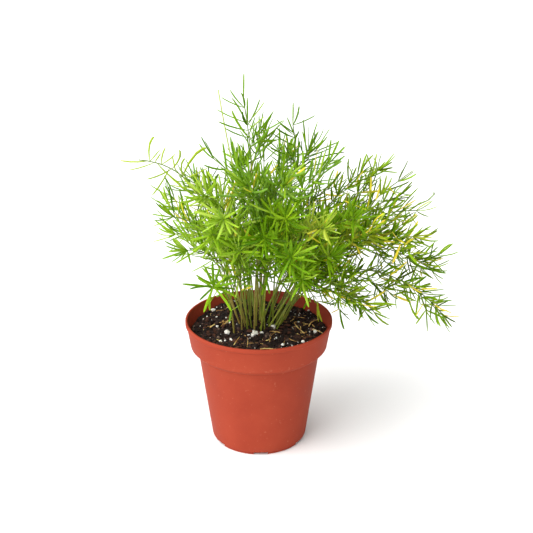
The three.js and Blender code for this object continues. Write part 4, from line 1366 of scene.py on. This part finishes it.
def growFrond(stem, number):
    draw = random.Random(habit["seed"] + number)
    growth = plainGrowth | growths[stem["growth"]]
    handles, bare = stem["handles"], stem["bare"]
    length = alongStem(handles, [0])[1]
    browning = draw.random() * (habit["browned"] if stem["foot"][0] < 0 else habit["greener"])
    radii = habit["stemFoot"] * draw.uniform(*habit["footPlay"]), habit["stemEnd"]
    parts = [stemTube("frond", handles, radii, browning, draw.random())] + stem["placed"]
    spin = draw.uniform(0, 2 * math.pi)
    at = length * bare * draw.uniform(*habit["barePlay"])
    alone = stem["name"] in handOnly
    stop = length - habit["stopShort"]
    if alone:
        stop = length * min(row[0] for row in handGrown[stem["name"]]) - habit["aloneShort"]
    while at < stop:
        places, along = headingAt(handles, at / length, min(1, at / length + habit["ahead"]))
        share = (at / length - bare) / (1 - bare)
        spin += math.radians(habit["turnDeg"] + draw.uniform(-habit["turnPlay"], habit["turnPlay"]))
        side = sideOf(along, spin)
        tilt = habit["lowTilt"] + (habit["topTilt"] - habit["lowTilt"]) * share
        tilts = tilt - habit["tiltBelow"], tilt + habit["tiltAbove"]
        if draw.random() < growth["twigs"] and share < twigShape["below"]:
            twigTilt = math.radians(draw.uniform(*twigShape["tilt"]))
            direction = along * math.cos(twigTilt) + side * math.sin(twigTilt)
            reach = draw.uniform(*growth["twigLength"]) * (1 - twigShape["shorter"] * share)
            growTwig(parts, draw, growth, places[0], direction, along + upward * twigShape["up"],
                     reach, number)
        cluster(parts, draw, growth, places[0], along, draw.randint(*growth["each"]), tilts,
                side=side)
        if draw.random() < habit["second"]:
            cluster(parts, draw, growth, places[0], along, draw.randint(*habit["onSecond"]), tilts,
                    side=-side)
        at += growth["spacing"] * draw.uniform(*habit["spacingPlay"])
    places, along = headingAt(handles, habit["starFrom"], 1.0)
    star = 0 if alone else growth["star"]
    if star >= fullStar["from"]:
        near, _ = alongStem(handles, [1 - fullStar["skirtAt"] / length])
        cluster(parts, draw, growth, places[1], along, star - fullStar["others"], *fullStar["ring"])
        cluster(parts, draw, growth, places[1], along, *fullStar["heart"])
        cluster(parts, draw, growth, near[0], along, *fullStar["skirt"])
    elif star:
        cluster(parts, draw, growth, places[1], along, star, *looseStar)
    frond = joinAll("frond_" + stem["name"], parts)
    settle(frond)
    dress(frond, "fern_green", "stem_" + stem["name"])
    return len(parts) - 1


for number, stem in enumerate(stems):
    line = alongStem(stem["handles"], np.linspace(0, 1, habit["stemPieces"] + 1))[0]
    for a, b in zip(line, line[1:]):
        hold(a, b, number)
for stem in frondStems:
    stem["placed"] = []
    for i, row in enumerate(handGrown.get(stem["name"], ())):
        share, x, y, z, width, tone, *bend = row
        kind, curl = bend[0].split() if bend else ("straight", "near")
        root = alongStem(stem["handles"], [share])[0][0]
        drift = max(0, growths[stem["growth"]].get("drift", 0)) * habit["placedDrift"]
        aimNeedle(stem["placed"], root, (x, y, z), kind, curl, width, tone, drift,
                  clusters["count"] + i)
    clusters["count"] += 100
grown = sum([growFrond(stem, number) for number, stem in enumerate(frondStems)])
for pattern in [needle for needle, along, across in blades.values()] + [twigPattern]:
    bpy.data.objects.remove(pattern)
print("fronds grown:", grown, "twigs and needles")


# the bare shoot, thin and pale, its end standing almost straight up

shootShape = {"footRadius": 0.62, "endRadius": 0.42}
shootLook = {
    "stops": (0.0, 0.45, 1.0),
    "tones": (linear(106, 124, 46), linear(146, 166, 70), linear(176, 192, 96)),
    "mottled": linear(150, 170, 80), "mottle": (400, 3), "mottleShare": (0.45, 0.7, 0, 0.35),
    "relief": (0.2, 0.0001), "roughness": 0.45, "gloss": 0.4, "glow": 0.15, "glowDepth": 0.001,
}


def shootMaterial():
    look = shootLook
    material, tree, shader, place = startMaterial("pale_shoot_skin", look)
    tone, browning, along, across = growthParts(tree)
    mottle = addNoise(tree, place, *look["mottle"])
    colour = addRamp(tree, along, *zip(look["stops"], look["tones"]))
    colour = layOver(tree, colour, mottle, look["mottleShare"], look["mottled"])
    finishMaterial(tree, shader, colour, mottle, *look["relief"])
    return material


shootRadii = shootShape["footRadius"], shootShape["endRadius"]
shoot = stemTube("bare_shoot_stem", shootStem["handles"], shootRadii, 0)
coat(shoot, shootMaterial())
dress(shoot, "pale_shoot", "bare_shoot")
print("bare shoot made")


# dry stalks and slivers on the mix: where a stalk starts and ends, its bend and its radius, in mm

stalkPlan = (
    ((1, -34), (13, -33), 3, 0.5), ((22, 19), (33, 14), 1, 0.42), ((25, 5), (35, -14), -1.5, 0.42),
    ((35, 3), (43, 13), 1.5, 0.5), ((37, -4), (44, -11), 1.5, 0.42), ((-34, -1), (-20, 9), 2, 0.42),
)
sliverPlan = {
    "seed": 77, "count": 66, "lengths": (4, 14), "radii": (0.2, 0.42), "bend": 2, "reach": 42,
    "edge": 45, "fewerLeftOf": (-60, 10),
}
stalkShape = {"shares": (0, 0.34, 0.67, 1), "bow": 1.15, "thinning": 0.45}
stalkLift, sliverLift = 0.9, 0.45
litterLook = {
    "straw": linear(222, 196, 124), "tan": linear(190, 146, 82), "brown": linear(120, 80, 48),
    "stops": (0.34, 0.48, 0.6), "patch": (170, 4), "fibre": (1500, 3),
    "fibreShare": (0.5, 0.8, 0, 0.5), "relief": (0.4, 0.0002), "roughness": 0.6, "gloss": 0.3,
}


def litterMaterial():
    look = litterLook
    material, tree, shader, place = startMaterial("dry_straw_skin", look)
    patch = addNoise(tree, place, *look["patch"])
    fibre = addNoise(tree, place, *look["fibre"])
    colour = addRamp(tree, patch, *zip(look["stops"], (look["brown"], look["tan"], look["straw"])))
    colour = layOver(tree, colour, fibre, look["fibreShare"], look["tan"])
    finishMaterial(tree, shader, colour, fibre, *look["relief"])
    return material


litterFinish = litterMaterial()


def layStalk(name, start, end, bend, radius, lift):
    start, end = Vector(start), Vector(end)
    aside = Vector((-(end - start).y, (end - start).x)).normalized() * bend
    points = []
    for t in stalkShape["shares"]:
        place = start.lerp(end, t) + aside * math.sin(math.pi * t) * stalkShape["bow"]
        points.append((*place, soilSurface(*place) + radius + lift))
    obj = tube(name, points, (radius, radius * stalkShape["thinning"]))
    coat(obj, litterFinish)
    return obj


for number, plan in enumerate(stalkPlan, 1):
    stalk = layStalk("dry_stalk_piece_%d" % number, *plan, stalkLift)
    dress(stalk, "dry_straw", "dry_stalk_%d" % number)

draw = random.Random(sliverPlan["seed"])
slivers = []
for i in range(sliverPlan["count"]):
    angle, r = draw.uniform(0, fullTurn), sliverPlan["reach"] * math.sqrt(draw.random())
    x, y, turn = r * math.cos(angle), r * math.sin(angle), draw.uniform(0, fullTurn)
    length = draw.uniform(*sliverPlan["lengths"])
    end = (x + length * math.cos(turn), y + length * math.sin(turn))
    if math.hypot(*end) < sliverPlan["edge"] and x > draw.uniform(*sliverPlan["fewerLeftOf"]):
        bend = draw.uniform(-sliverPlan["bend"], sliverPlan["bend"])
        radius = draw.uniform(*sliverPlan["radii"])
        slivers.append(layStalk("sliver", (x, y), end, bend, radius, sliverLift))
dress(joinAll("dry_slivers", slivers), "dry_straw")
print("litter laid")

bpy.context.view_layer.update()
